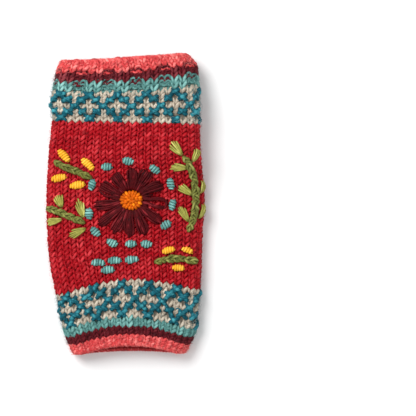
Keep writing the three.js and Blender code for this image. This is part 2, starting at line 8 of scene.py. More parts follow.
import bpy
import numpy as np
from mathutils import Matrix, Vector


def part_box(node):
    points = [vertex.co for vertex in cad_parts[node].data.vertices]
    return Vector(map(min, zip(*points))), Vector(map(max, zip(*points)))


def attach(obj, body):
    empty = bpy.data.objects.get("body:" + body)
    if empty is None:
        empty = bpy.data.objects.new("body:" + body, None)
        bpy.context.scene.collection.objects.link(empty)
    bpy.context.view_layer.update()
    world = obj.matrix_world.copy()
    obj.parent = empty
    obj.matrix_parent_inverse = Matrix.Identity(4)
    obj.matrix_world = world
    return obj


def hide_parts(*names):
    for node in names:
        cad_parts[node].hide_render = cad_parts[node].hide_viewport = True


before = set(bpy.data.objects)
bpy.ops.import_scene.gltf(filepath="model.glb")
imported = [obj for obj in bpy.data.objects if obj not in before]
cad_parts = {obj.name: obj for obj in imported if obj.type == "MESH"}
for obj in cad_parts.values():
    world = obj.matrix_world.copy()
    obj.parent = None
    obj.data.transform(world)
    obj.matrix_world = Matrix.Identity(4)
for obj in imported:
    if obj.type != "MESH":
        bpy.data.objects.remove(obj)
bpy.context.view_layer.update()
MM = 0.001
TURN = 2 * math.pi

# Sizes of the fabric, as in the part's source
HAND_LENGTH = 190
HAND_WIDTH = 100
FABRIC = 3.2
HAND_GAP = 5.4
CROWN = 1.5
CLEARANCE = 0.3
THUMB_WIDTH = 36
THUMB_FABRIC = 2.8
THUMB_GAP = 4.6
THUMB_BASE_Y = 14
THUMB_LENGTH = 51
THUMB_CENTRE_X = 24
THUMB_SLANT = 0.12
THUMB_TAPER = 0.93
PALM_RAMP = 15
PALM_SLOPE = 14
PALM_FADE = 0.3  # share of the rise over the thumb that is gone beyond the thumb's side and tip
FADE_FROM_SIDE = 1
FADE_FROM_TIP = 3
BACK_SPREAD = 24
BACK_SETTLE = 1.5

HALF_LENGTH = HAND_LENGTH / 2
HALF_WIDTH = HAND_WIDTH / 2
FOLD_REACH = HAND_GAP / 2 + FABRIC
YARN_REACH = HAND_GAP / 2 + FABRIC / 2
THUMB_REACH = THUMB_GAP / 2 + THUMB_FABRIC
THUMB_YARN_REACH = THUMB_GAP / 2 + THUMB_FABRIC / 2
THUMB_HEIGHT = 2 * THUMB_REACH

# The part's source centres the whole on its box, so its middle is off the hand's own middle by this
SHIFT_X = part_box("hand_tube")[0].x / MM + HALF_WIDTH

# Courses of knitting, as in the part's source: edges are shares of the half width, places along Y shares
# of the half length, and crown a share of CROWN
COLUMNS = ("course", "left", "right", "y_left", "y_middle", "y_right", "y_palm", "crown")
COURSES = np.array([
    (0, -0.664, 0.761, -1.000, -0.940, -0.993, -0.980, 2.4),
    (3, -0.727, 0.824, -0.937, -0.870, -0.933, -0.903, 2.2),
    (5, -0.764, 0.868, -0.886, -0.813, -0.886, -0.843, 2.0),
    (7, -0.802, 0.899, -0.830, -0.756, -0.833, -0.783, 1.8),
    (14, -0.884, 0.950, -0.603, -0.506, -0.569, -0.536, 1.4),
    (20, -0.960, 0.962, -0.382, -0.309, -0.356, -0.322, 1.1),
    (26, -0.994, 0.981, -0.149, -0.115, -0.135, -0.115, 1.0),
    (30, -1.000, 1.000, 0.005, 0.015, 0.008, 0.015, 1.0),
    (36, -0.986, 0.975, 0.212, 0.212, 0.209, 0.212, 0.9),
    (41, -0.962, 0.950, 0.386, 0.376, 0.372, 0.376, 0.9),
    (46, -0.931, 0.941, 0.553, 0.539, 0.529, 0.539, 1.0),
    (50, -0.947, 0.945, 0.666, 0.659, 0.673, 0.659, 1.1),
    (53, -0.934, 0.932, 0.753, 0.746, 0.780, 0.753, 1.2),
    (55, -0.918, 0.924, 0.813, 0.813, 0.850, 0.820, 1.3),
    (57, -0.890, 0.905, 0.876, 0.873, 0.920, 0.883, 1.4),
    (60, -0.821, 0.786, 0.960, 0.973, 1.000, 0.983, 1.6),
])
LAST_COURSE = 60

# Dents of the back: place as shares of the half sizes, reach of the half width, depth of the gap
DENTS = (
    (-0.55, 0.62, 0.42, 0.1), (0.1, -0.62, 0.5, -0.12), (-0.35, -0.3, 0.45, 0.1), (0.62, -0.45, 0.4, 0.09),
)

# Wales run round the hand: 18 over the back from left to right, 4 round the right fold, 18 over the palm
# and 4 round the left fold
FLAT_WALES = 18
FOLD_WALES = 4
WALES = 2 * (FLAT_WALES + FOLD_WALES)
REPEAT = 4  # wales after which the ribbing and the bands' pattern begin again
RIB_PURLS = (2, 3)  # wales of a repeat that are purled in the ribbing
RIB_GROOVE = 2.5  # the middle between them
RIB_DRAW = 0.14  # share by which these wales are narrower
RED_FROM, RED_TO = 14, 46  # courses
RED_ROWS = 34
THUMB_FLAT_WALES = 6
THUMB_WALES = 2 * (THUMB_FLAT_WALES + FOLD_WALES)
THUMB_COURSES = 17


def lerp(a, b, t):
    return a + (b - a) * t


def smoothstep(x, low, high):
    t = np.clip((x - low) / (high - low), 0, 1)
    return t * t * (3 - 2 * t)


def way_out(angle, outward):
    """The way out of the fabric, as a unit vector."""
    return np.stack([outward * np.sin(angle), 0 * angle, np.cos(angle)], axis=-1)


def curve(marks, values, place):
    """A smooth curve that has these values at the marks, read at other places."""
    last = len(marks) - 1
    i = np.clip(np.searchsorted(marks, place, side="right") - 1, 0, last - 1)
    before, after = np.clip(i - 1, 0, last), np.clip(i + 2, 0, last)
    span = marks[i + 1] - marks[i]
    t = (place - marks[i]) / span
    slope_a = span * (values[i + 1] - values[before]) / (marks[i + 1] - marks[before])
    slope_b = span * (values[after] - values[i]) / (marks[after] - marks[i])
    t2, t3 = t * t, t * t * t
    ends = (2 * t3 - 3 * t2 + 1) * values[i] + (3 * t2 - 2 * t3) * values[i + 1]
    return ends + (t3 - 2 * t2 + t) * slope_a + (t3 - t2) * slope_b


def column(name, course):
    return curve(COURSES[:, 0], COURSES[:, COLUMNS.index(name)], course)


def over_thumb(x, y, spread):
    """How far across and along the folded thumb lies under a point, from 0 to 1."""
    inner = THUMB_CENTRE_X - THUMB_WIDTH / 2
    outer = THUMB_CENTRE_X + THUMB_WIDTH / 2
    tip = THUMB_BASE_Y + THUMB_LENGTH
    across = smoothstep(x, inner - PALM_SLOPE - spread, inner + spread / 2)
    outside = 1 - PALM_FADE * smoothstep(x, outer + FADE_FROM_SIDE, outer + FADE_FROM_SIDE + PALM_SLOPE)
    along = smoothstep(y, THUMB_BASE_Y - spread / 2, THUMB_BASE_Y + PALM_RAMP + spread / 4)
    beyond = 1 - PALM_FADE * smoothstep(y, tip + FADE_FROM_TIP, HALF_LENGTH)
    return across * outside * along * beyond


def back_dent(x, y):
    total = 0
    for dent_x, dent_y, reach, depth in DENTS:
        away = np.hypot(x - dent_x * HALF_WIDTH, y - dent_y * HALF_LENGTH) / (reach * HALF_WIDTH)
        total = total + depth * HAND_GAP * (1 - smoothstep(away, 0, 1))
    return total


def flat_half(course):
    return (column("right", course) - column("left", course)) * HALF_WIDTH / 2 - FOLD_REACH


def flat_middle(course):
    return (column("right", course) + column("left", course)) * HALF_WIDTH / 2


def course_y(course, across, palm):
    left, right = column("y_left", course), column("y_right", course)
    middle = lerp(column("y_middle", course), column("y_palm", course), palm)
    share = middle + (right - left) / 2 * across + ((left + right) / 2 - middle) * across * across
    return share * HALF_LENGTH


def wall_point(across, angle, outward, course, reach):
    """A point of the tube's wall. Angle is 0 on the back and pi on the palm, and outward the side of the
    fold that lies between, -1 or 1."""
    palm = (1 - np.cos(angle)) / 2
    x = flat_middle(course) + across * flat_half(course) + outward * reach * np.sin(angle)
    y = course_y(course, across, palm)
    rise = (THUMB_HEIGHT + CLEARANCE) * over_thumb(x, y, 0)
    back_rise = (THUMB_HEIGHT + CLEARANCE - BACK_SETTLE) * over_thumb(x, y, BACK_SPREAD)
    crown = (1 - palm) * (CROWN * column("crown", course) * (1 - across * across) - back_dent(x, y))
    z = FOLD_REACH + reach * np.cos(angle) + crown + lerp(back_rise, rise, palm)
    return np.stack([x, y, z], axis=-1)


def round_section(wale, flat_wales):
    """Where a wale lies on a flat tube: its share across, its angle and the side of its fold."""
    right, palm, left = flat_wales, flat_wales + FOLD_WALES, 2 * flat_wales + FOLD_WALES
    marks = (0, right, palm, left, left + FOLD_WALES)
    wale = np.mod(wale, marks[-1])
    across = np.interp(wale, marks, (-1, 1, 1, -1, -1))
    angle = np.interp(wale, marks, (0, 0, math.pi, math.pi, 0))
    return across, angle, np.where(wale < left, 1, -1)


def hand_surface(wale, course, height):
    """A point of the hand's fabric and the way out of it. Height is counted from the wall's middle."""
    across, angle, outward = round_section(wale, FLAT_WALES)
    point = wall_point(across, angle, outward, course, YARN_REACH + height)
    return point, way_out(angle, outward)


def thumb_surface(wale, course, height):
    """The same for the thumb sleeve, whose courses are counted from its base."""
    across, angle, outward = round_section(wale, THUMB_FLAT_WALES)
    y = THUMB_BASE_Y + THUMB_LENGTH * course / THUMB_COURSES
    share = lerp(1, THUMB_TAPER, (y - THUMB_BASE_Y) / THUMB_LENGTH)
    reach = THUMB_YARN_REACH + height
    x = across * (THUMB_WIDTH * share / 2 - THUMB_REACH) + outward * reach * np.sin(angle)
    slant = THUMB_SLANT * x * smoothstep(y, THUMB_BASE_Y, THUMB_BASE_Y + THUMB_LENGTH)
    z = THUMB_REACH + reach * np.cos(angle)
    return np.stack([THUMB_CENTRE_X + x, y + slant, z], axis=-1), way_out(angle, outward)


def unit(vectors):
    return vectors / np.maximum(np.linalg.norm(vectors, axis=-1, keepdims=True), 1e-9)


def new_object(name, data):
    made = bpy.data.objects.new(name, data)
    bpy.context.scene.collection.objects.link(made)
    return made


def tube_quads(rings, sides, closed):
    """The corners of a tube's faces, by ring and side, when its points are counted ring by ring."""
    i = np.arange(rings if closed else rings - 1)[:, None]
    j = np.arange(sides)[None]
    near, far, turn = i * sides, (i + 1) % rings * sides, (j + 1) % sides
    return np.stack([near + j, far + j, far + turn, near + turn], axis=-1)


def ring_points(path, ahead, up, radius, sides):
    """Rings of points round the places of a path, or of many. Ahead is the way along it, and up the way
    out of the fabric."""
    side = unit(np.cross(ahead, up))[..., None, :]
    out = np.cross(side, ahead[..., None, :])
    angle = TURN * np.arange(sides)[:, None] / sides
    ring = (side * np.cos(angle) + out * np.sin(angle)) * radius[..., None, None]
    return (path[..., None, :] + ring).reshape(-1, 3)


FIBRE_SIDES = 3
FIBRE_STEPS = 5
FIBRE_RADIUS = 0.075
FIBRE_TAPER = 0.6  # share of its thickness that a fibre loses towards its end


class YarnMesh:
    """Tubes of yarn, gathered as arrays and then made into one mesh. Each vertex holds a value that the
    yarn's material reads, which sums the yarn's random tones with painted shade and painted highlight. Each
    face corner holds its place along and around the yarn."""

    SIDES = 6
    PAINTED_SIDE_SHADE = 8.0  # painted shade: how much darker a strand's sides are painted, where the next strand would shade them
    INNER_FROM = 0.6  # where that begins, 1 being the strand's very top
    BACK_FROM = -0.5  # where the strand's back begins, which shows only inside the knitting
    # painted shade: the back of a strand is painted one tone darker, without the painted side shade
    PAINTED_BACK_SHADE = -1.0
    PRESSED = 0.8  # height under which the floor presses the yarn flat, the more the lower it lies

    def __init__(self, surface=hand_surface, wales=WALES):
        """Surface is what knitting in this yarn lies on, with so many wales round it."""
        self.surface, self.wales = surface, wales
        self.points, self.faces, self.places, self.tones = [], [], [], []
        self.count = 0

    def add(self, points, tones, quads, places=None):
        """Adds points and the faces between them, whose corners are counted from the first of these."""
        self.points.append(points)
        self.tones.append(tones)
        self.faces.append(quads + self.count)
        self.places.append(np.zeros((len(quads), 4, 2)) if places is None else places)
        self.count += len(points)

    def strand(self, path, radius, up, tone_and_painted_light, closed=False, shaded=1.0):
        """A tube along a path. Radius and tone have a value at each point, and up is the way out there.
        Shaded is the share of the painted shade on the strand's sides, where its neighbours would shade them."""
        n, sides = len(path), self.SIDES
        radius, tone_and_painted_light = np.broadcast_to(radius, n), np.broadcast_to(tone_and_painted_light, n)
        around = np.roll(path, -1, axis=0) - np.roll(path, 1, axis=0)
        ahead = unit(around if closed else np.gradient(path, axis=0))
        facing = np.broadcast_to(np.sin(TURN * np.arange(sides) / sides), (n, sides))
        # painted shade: the strand's sides are painted darker, and its back a little darker
        tones = tone_and_painted_light[:, None] + shaded * self.PAINTED_SIDE_SHADE * np.minimum(facing - self.INNER_FROM, 0)
        tones = np.where(facing < self.BACK_FROM, self.PAINTED_BACK_SHADE, tones).reshape(-1)
        quads = tube_quads(n, sides, closed).reshape(-1, 4)
        step = np.linalg.norm(np.diff(path, axis=0, append=path[:1]), axis=1)
        along = np.concatenate([[0], np.cumsum(step)])
        i, j = np.indices((n if closed else n - 1, sides))
        low, high, start, stop = along[i], along[i + 1], j / sides, (j + 1) / sides
        places = np.stack([low, start, high, start, high, stop, low, stop], axis=-1).reshape(-1, 4, 2)
        if not closed:
            first = np.array([[0, 1, 2, 3], [0, 3, 4, 5]])
            last = (n - 1) * sides + first[:, ::-1]
            quads = np.concatenate([quads, first, last])
            places = np.concatenate([places, np.zeros((4, 4, 2))])
        self.add(ring_points(path, ahead, up, radius, sides), tones, quads, places)

    def fibres(self, paths, up, tones):
        """Many thin strands at once, each with as many points as the others."""
        count, steps, sides = len(paths), paths.shape[1], FIBRE_SIDES
        radius = FIBRE_RADIUS * (1 - FIBRE_TAPER * np.linspace(0, 1, steps))
        points = ring_points(paths, unit(np.gradient(paths, axis=1)), up, radius, sides)
        first = np.arange(count)[:, None, None, None] * steps * sides
        quads = (first + tube_quads(steps, sides, False)).reshape(-1, 4)
        self.add(points, np.repeat(tones, steps * sides), quads)

    def piece(self, name, material, slot, node_name):
        """Makes the gathered tubes into one Blender object that stands for a CAD node."""
        points = np.concatenate(self.points)
        points[:, 0] += SHIFT_X
        low = np.minimum(points[:, 2], self.PRESSED)
        points[:, 2] += self.PRESSED * np.exp(low / self.PRESSED - 1) - low
        faces, places = np.concatenate(self.faces), np.concatenate(self.places)
        mesh = bpy.data.meshes.new(name)
        mesh.vertices.add(len(points))
        mesh.vertices.foreach_set("co", (points * MM).astype(np.float32).ravel())
        mesh.loops.add(faces.size)
        mesh.loops.foreach_set("vertex_index", faces.astype(np.int32).ravel())
        mesh.polygons.add(len(faces))
        mesh.polygons.foreach_set("loop_start", np.arange(0, faces.size, 4, dtype=np.int32))
        mesh.update(calc_edges=True)
        mesh.shade_smooth()
        mesh.uv_layers.new(name="yarn").data.foreach_set("uv", places.astype(np.float32).ravel())
        tones = np.concatenate(self.tones).astype(np.float32)
        mesh.attributes.new("tone_and_painted_light", "FLOAT", "POINT").data.foreach_set("value", tones)
        mesh.materials.append(material)
        obj = new_object(name, mesh)
        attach(obj, "root")
        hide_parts(node_name)


# One round of knitting. A stitch runs from a sinker loop at its left, up one leg, over the head, down the
# other leg and to the sinker loop at its right. Loops lean: left legs are thin and steep, right legs fat
# and slanting. Lengths along the round are shares of a wale and across it shares of a row.
LOOP_STEPS = 14
LOOP_HEIGHT = 0.88
LOOP_SWELL = 1.62
LOOP_LEAN = 0.06
RED_LEAN = 0.11
LOOP_DEPTH = 0.85
LEG_THICKNESS = 0.12
LEG_LIFT = 0.14
PAINTED_DEEP_SHADE = 3.0  # painted shade: how much darker yarn is painted that lies a millimetre under the fabric's face
PAINTED_HIGHLIGHT = 1.6  # painted highlight: how much lighter yarn is painted that lies a millimetre over it
YARN_RADIUS = 1.17
HEAD_THICKNESS = 0.62  # of the yarn at a loop's head and feet, as a share of its thickness at the legs
FLOAT_STEPS = 3
FLOAT_DEPTH = -1.15
FLOAT_DROP = 0.6  # of a loop's height

LIFT_SPREAD, DROP_SPREAD, TONE_SPREAD = 0.1, 0.05, 0.5  # how uneven the stitches are
TALL_SPREAD, SWELL_SPREAD, THICK_SPREAD = 0.05, 0.07, 0.06  # and these as shares
DRIFT = 0.1  # how far wales and rows stray, in their own widths

# A raised stitch of the bands: two strands that cross and a short one over their middle, all of one yarn
# that goes back behind the fabric between them. Arch is the power that makes a strand's bow full.
BUMP_STEPS = 8
BUMP_RADIUS = 1.5
BUMP_REACH = 0.74
BUMP_SPREAD = 0.7
BUMP_BASE = -0.9
BUMP_RISE, BUMP_ARCH = 2.1, 0.38
TIE_REACH = 0.42
TIE_RISE, TIE_ARCH = 2.7, 0.7
CROSS_RISE = 0.2  # how much higher than the middle of both the upper strand lies
BUMP_FACE = 0.9  # height at which a bump has no painted light and keeps its stitch's own tone
BUMP_HIGHLIGHT_AND_TONE = 1.5  # painted highlight: how much lighter it is painted a millimetre over that, and also the spread of its random tones

KNIT, PURL, FLOAT, BUMP, HOLE = "knit", "purl", "float", "bump", "hole"
SIGN = {KNIT: 1, PURL: -1}


def wobble(wale, course, seed):
    """Slow uneven drift of the hand knitting, about -1 to 1."""
    phase = seed * 1.7
    turns = TURN * wale / WALES
    return (
        np.sin(3 * turns + 0.23 * course + phase) * np.cos(0.35 * course - 2 * turns + 2 * phase)
        + 0.6 * np.sin(1.3 * course + 7 * turns + 3 * phase) * np.sin(5 * turns - 0.5 * course)
    ) / 1.3


def rib_draw(wale):
    """Ribbing draws its purl wales together."""
    return wale - RIB_DRAW * np.sin(TURN * (wale - RIB_GROOVE) / REPEAT) * REPEAT / TURN


def loop_points(theta, kind, at, passing, lean):
    """Places along and across the round, and out of it, on one loop."""
    if kind == FLOAT:
        return theta / TURN, -FLOAT_DROP * at["tall"], np.full(len(theta), FLOAT_DEPTH)
    along = (theta + at["swell"] * np.sin(2 * theta)) / TURN + lean * np.cos(theta)
    across = at["tall"] * np.cos(theta)
    out = (-LOOP_DEPTH * np.cos(2 * theta) + LEG_LIFT * np.sin(theta)) * at["sign"] + at["lift"]
    share = smoothstep(np.abs(theta), math.pi / 2, math.pi)
    return along, across, np.where(passing, lerp(out, FLOAT_DEPTH, share), out)


def bump_points(rng, scale):
    t = np.linspace(0, 1, BUMP_STEPS)
    arch = np.sin(math.pi * t)
    tilt, size = rng.normal(0, 0.2), scale * (1 + rng.normal(0, 0.09))
    behind = (np.array([0.2, -0.2]), np.zeros(2), np.full(2, FLOAT_DEPTH))
    parts = []
    for side in (-1, 1):
        reach = BUMP_REACH * size * (1 + rng.normal(0, 0.1))
        spread = side * BUMP_SPREAD * size * (1 + rng.normal(0, 0.12))
        along = lerp(-reach, reach, t)
        across = spread * (2 * t - 1) + tilt * along + 0.04 * side
        rise = BUMP_RISE + CROSS_RISE * side + rng.normal(0, 0.15)
        parts += [(along, across, BUMP_BASE + rise * arch**BUMP_ARCH), behind]
    along = lerp(-TIE_REACH, TIE_REACH, t) * size
    across = rng.normal(0, 0.35) * along + rng.normal(0, 0.06)
    parts.append((along, across, BUMP_BASE + (TIE_RISE + rng.normal(0, 0.15)) * arch**TIE_ARCH))
    return (np.concatenate(values) for values in zip(*parts))


def knit_round(
    yarn, course, kinds, rng, radius=YARN_RADIUS, lifts=0.0, ribbed=False, row=1.0, lean=LOOP_LEAN,
    rough=1.0, shade=0.0, bump=1.0,
):
    """Adds a round of stitches whose middle lies at a course. Kinds holds the kind of the stitch at each
    wale, a FLOAT being yarn that passes behind, with the HOLEs side by side. Lifts is how far the stitches
    stand out, row the height of a row in courses, rough how uneven the stitches are, shade an offset of all
    their tones, which is painted shade where it is negative, and bump the size of the bumps."""
    count = len(kinds)

    def stray(spread):
        return rng.normal(0, spread * rough, count)

    own = {
        "sign": np.array([SIGN.get(kind, 0) for kind in kinds], float),
        "lift": lifts + stray(LIFT_SPREAD),
        "drop": stray(DROP_SPREAD),
        "tall": LOOP_HEIGHT * (1 + stray(TALL_SPREAD)),
        "swell": LOOP_SWELL * (1 + stray(SWELL_SPREAD)),
        "thick": radius * (1 + stray(THICK_SPREAD)),
        "tone_and_painted_light": shade + rng.normal(0, TONE_SPREAD, count),
    }
    holes = [k for k, kind in enumerate(kinds) if kind == HOLE]
    start = (holes[-1] + 1) if holes else 0
    parts = []
    for k in [(start + i) % count for i in range(count - len(holes))]:
        if kinds[k] == BUMP:
            along, across, out = bump_points(rng, bump)
            thick = BUMP_RADIUS * np.clip(0.72 + 0.3 * (out - FLOAT_DEPTH), 0.5, 1) * own["thick"][k] / radius
            # painted light: a bump is painted lighter where it stands higher and darker where it lies lower,
            # with random tones
            tone_and_painted_light = own["tone_and_painted_light"][k] + BUMP_HIGHLIGHT_AND_TONE * (out - BUMP_FACE) + rng.normal(0, BUMP_HIGHLIGHT_AND_TONE, len(out))
        else:
            steps = FLOAT_STEPS if kinds[k] == FLOAT else LOOP_STEPS
            theta = -math.pi + TURN * np.arange(steps) / steps
            beside = np.where(theta < 0, (k - 1) % count, (k + 1) % count)
            share = smoothstep(np.abs(theta), math.pi / 2, math.pi) / 2
            at = {name: lerp(value[k], value[beside], share) for name, value in own.items()}
            passing = np.array([kinds[b] in (FLOAT, BUMP) for b in beside])
            along, across, out = loop_points(theta, kinds[k], at, passing, lean)
            across = across + at["drop"]
            squeeze = lerp(HEAD_THICKNESS, 1, np.sin(theta) ** 2)
            thick = at["thick"] * squeeze * (1 + LEG_THICKNESS * np.sin(theta))
            # painted shade on yarn that lies under the fabric's face and painted highlight on yarn that
            # stands out over it
            tone_and_painted_light = at["tone_and_painted_light"] + PAINTED_DEEP_SHADE * np.minimum(out, 0) + PAINTED_HIGHLIGHT * np.maximum(out, 0)
        parts.append(np.stack([k + along, course + row * across, out, thick, tone_and_painted_light], axis=-1))
    wale, where, out, thick, tone_and_painted_light = np.concatenate(parts).T
    drift = DRIFT * wobble(wale, where, 1)
    where = where + row * DRIFT * wobble(wale, where, 2)
    wale = wale + drift
    path, up = yarn.surface(rib_draw(wale) if ribbed else wale, where, out)
    yarn.strand(path, thick, up, tone_and_painted_light, closed=not holes)


EDGE_STEPS = 10
EDGE_REACH, EDGE_RISE = 0.2, 0.72  # of the strands from the edge's middle, in courses and in millimetres
EDGE_SLANT = 0.1
EDGE_THICKNESS = 0.92  # of the yarn's own


def edge_cord(yarn, course, rng, ribbed=True):
    """The cast-on or bound-off edge: a strand that twists once round the rim at each wale."""
    turn = np.arange(yarn.wales * EDGE_STEPS) / EDGE_STEPS
    for phase in (0, math.pi):
        angle = TURN * turn + phase
        wale = turn + EDGE_SLANT * np.sin(angle)
        where = course + EDGE_REACH * np.cos(angle) + 0.03 * wobble(wale, course, 3)
        out = EDGE_RISE * np.sin(angle) + 0.1 * wobble(wale, course, 4)
        path, up = yarn.surface(rib_draw(wale) if ribbed else wale, where, out)
        # painted highlight: the edge's strands are painted a tone lighter, with random tones, and get no
        # painted side shade
        tone_and_painted_light = np.repeat(rng.normal(1, 1, yarn.wales), EDGE_STEPS)
        yarn.strand(path, YARN_RADIUS * EDGE_THICKNESS, up, tone_and_painted_light, closed=True, shaded=0.0)


WALE_WIDTH = 4.6
ROW_HEIGHT = 3.1
FOLD_SHARE = 0.4  # of the fibres, which stand on the folds
FUZZ_REACH = (3, 0.75)  # shape and scale of the fibres' lengths
FUZZ_CURL = 1.1
FUZZ_RISE = 0.9
FUZZ_POWER = 1.3  # over 1, so that fibres lie flat where they leave the yarn
FUZZ_TOP = 3.4
FUZZ_SPREAD = 1.5  # of the fibres' tones


def fuzz(yarn, courses, count, rng, base=1.25, tone_and_painted_light=1.6):
    """Loose fibres of the wool, which curl up from the yarn. They are painted lighter than the yarn, as
    painted sheen.
    """
    t = np.linspace(0, 1, FIBRE_STEPS)[None]
    each = (count, 1)
    wale, course = rng.uniform(0, yarn.wales, each), rng.uniform(*courses, each)
    folded = rng.uniform(0, 1, each) < FOLD_SHARE
    on_fold = FLAT_WALES + rng.uniform(-0.5, FOLD_WALES - 0.5, each)
    wale = np.where(folded, on_fold + yarn.wales / 2 * rng.integers(0, 2, each), wale)
    turn = rng.uniform(0, TURN, each) + rng.normal(0, FUZZ_CURL, each) * t
    length = rng.gamma(*FUZZ_REACH, each) * t
    rise = rng.uniform(-0.5, 0.3, each) + rng.exponential(FUZZ_RISE, each) * t**FUZZ_POWER
    wale = wale + length * np.cos(turn) / WALE_WIDTH
    course = np.clip(course + length * np.sin(turn) / ROW_HEIGHT, *courses)
    path, up = yarn.surface(wale, course, np.minimum(base + rise, FUZZ_TOP))
    yarn.fibres(path, up, rng.normal(tone_and_painted_light, FUZZ_SPREAD, count))


LINING_OUT, LINING_IN = 0.0, -0.8  # heights of its two faces
# painted shade: the lining is painted six tones darker
LINING_PAINTED_SHADE = -6.0


def lining(yarn, start, stop, skip=None):
    """A thin closed lining in the middle of the fabric, so that no light falls between the stitches. It is
    painted dark, as the shade there. Skip tells where there is none."""
    around = np.arange(0, yarn.wales, 0.5)
    steps = max(2, math.ceil(stop - start))
    courses = np.linspace(start, stop, steps + 1)
    loops = [(c, LINING_OUT) for c in courses] + [(c, LINING_IN) for c in courses[::-1]]
    size = len(around)
    flat = [yarn.surface(around, np.full(size, c), np.full(size, height))[0] for c, height in loops]
    quads = tube_quads(len(loops), size, True)[..., [0, 3, 2, 1]]
    if skip is not None:
        keep = ~skip(np.repeat(courses[:-1, None], size, 1) + 0.5, np.repeat(around[None], steps, 0) + 0.25)
        edge = np.ones((1, size), bool)
        quads = quads[np.concatenate([keep, edge, keep[::-1], edge])]
    yarn.add(np.concatenate(flat), np.full(len(loops) * size, LINING_PAINTED_SHADE), quads.reshape(-1, 4))


def feed(tree, inputs, sockets):
    """Links the sockets whose values are other nodes' outputs, and sets the others."""
    for key, value in sockets.items():
        if isinstance(value, bpy.types.NodeSocket):
            tree.links.new(value, inputs[key])
        else:
            inputs[key].default_value = value


def node(tree, kind, sockets, **settings):
    made = tree.nodes.new(kind)
    for name, value in settings.items():
        setattr(made, name, value)
    feed(tree, made.inputs, sockets)
    return made


def new_material(name):
    material = bpy.data.materials.new(name)
    material.use_nodes = True
    return material, material.node_tree, material.node_tree.nodes["Principled BSDF"].inputs


def linear(colour):
    """A colour as seen on a screen, 0 to 255, as the linear one that a shader takes."""
    shares = [value / 255 for value in colour]
    return [*(s / 12.92 if s <= 0.04045 else ((s + 0.055) / 1.055) ** 2.4 for s in shares), 1.0]


# Materials. Each yarn is plied wool: plies wind round it, fibres run along it and its dye is uneven. The
# # grooves between its plies are painted darker, as painted shade.
PLY_TWIST = 3.4  # length over which a ply goes once round the yarn
PLIES = 2
FIBRES_ALONG, FIBRES_ROUND, FIBRE_DETAIL = 0.7, 5.5, 3.0
DYE_SCALE, DYE_DETAIL = 260.0, 2.0
TONE_STEP = 0.08  # share by which a tone of 1 lightens a colour; the tones hold random tones, painted shade and painted highlight
DARKEST = 0.25  # share of a colour that every tone leaves
PLY_RELIEF, FIBRE_RELIEF = 0.6, 0.9
RELIEF = {"Strength": 0.6, "Distance": 0.35 * MM}
FINISH = {"Roughness": 0.65, "Specular IOR Level": 0.12, "Sheen Weight": 0.04, "Sheen Roughness": 0.5}


def wool(name, base, light, dark, fleck=0.6):
    """Base is the yarn's main colour, light and dark its fibres' extremes, fleck how much they show. Light
    is also the colour of the painted highlight, and dark that of the painted shade in the ply grooves.
    """
    material, tree, shader = new_material(name)
    light, dark = linear(light), linear(dark)

    def maths(operation, *values):
        return node(tree, "ShaderNodeMath", dict(enumerate(values)), operation=operation).outputs[0]

    def times(a, b):
        return maths("MULTIPLY", a, b)

    def noise(place, scale, detail):
        sockets = {"Vector": place, "Scale": scale, "Detail": detail}
        return node(tree, "ShaderNodeTexNoise", sockets).outputs["Fac"]

    place = node(tree, "ShaderNodeUVMap", {}, uv_map="yarn").outputs[0]
    along, around, _ = node(tree, "ShaderNodeSeparateXYZ", {0: place}).outputs
    twist = maths("ADD", maths("DIVIDE", along, PLY_TWIST), times(around, PLIES))
    ply = maths("ABSOLUTE", maths("SINE", times(twist, math.pi)))
    laid_out = {0: times(along, FIBRES_ALONG), 1: times(twist, FIBRES_ROUND)}
    fibres = noise(node(tree, "ShaderNodeCombineXYZ", laid_out).outputs[0], 1.0, FIBRE_DETAIL)
    dye = noise(node(tree, "ShaderNodeTexCoord", {}).outputs["Object"], DYE_SCALE, DYE_DETAIL)
    tone_and_painted_light = node(tree, "ShaderNodeAttribute", {}, attribute_name="tone_and_painted_light").outputs["Fac"]

    # Patterns with the values between which each brings in a colour, and how much of it. The ply grooves
    #     # bring in painted shade, and high tones a painted highlight.
    colour = linear(base)
    for pattern, low, high, share, other in (
        (fibres, 0.55, 0.74, fleck, light),
        (fibres, 0.48, 0.3, fleck, dark),
        (dye, 0.5, 0.75, fleck * 0.7, dark),
        # painted shade: the grooves between the plies are painted darker
        (ply, 0.45, 0.0, 0.45, dark),
        # painted highlight: high tones bring in the light colour
        (tone_and_painted_light, 0.4, 3.2, 0.45, light),
    ):
        sockets = {"Value": pattern, "From Min": low, "From Max": high}
        faded = node(tree, "ShaderNodeMapRange", sockets, interpolation_type="SMOOTHSTEP").outputs["Result"]
        sockets = {0: times(faded, share), 6: colour, 7: other}
        colour = node(tree, "ShaderNodeMix", sockets, data_type="RGBA").outputs[2]
    # the tones scale the colour, darker for painted shade and lighter for painted highlight, with random
    # tones
    shade = maths("MAXIMUM", maths("ADD", times(tone_and_painted_light, TONE_STEP), 1.0), DARKEST)
    tinted = node(tree, "ShaderNodeVectorMath", {0: colour, "Scale": shade}, operation="SCALE").outputs[0]
    relief = maths("ADD", times(ply, PLY_RELIEF), times(fibres, FIBRE_RELIEF))
    bump = node(tree, "ShaderNodeBump", {"Height": relief, **RELIEF}).outputs[0]
    feed(tree, shader, {"Base Color": tinted, "Normal": bump, "Sheen Tint": light, **FINISH})
    return material


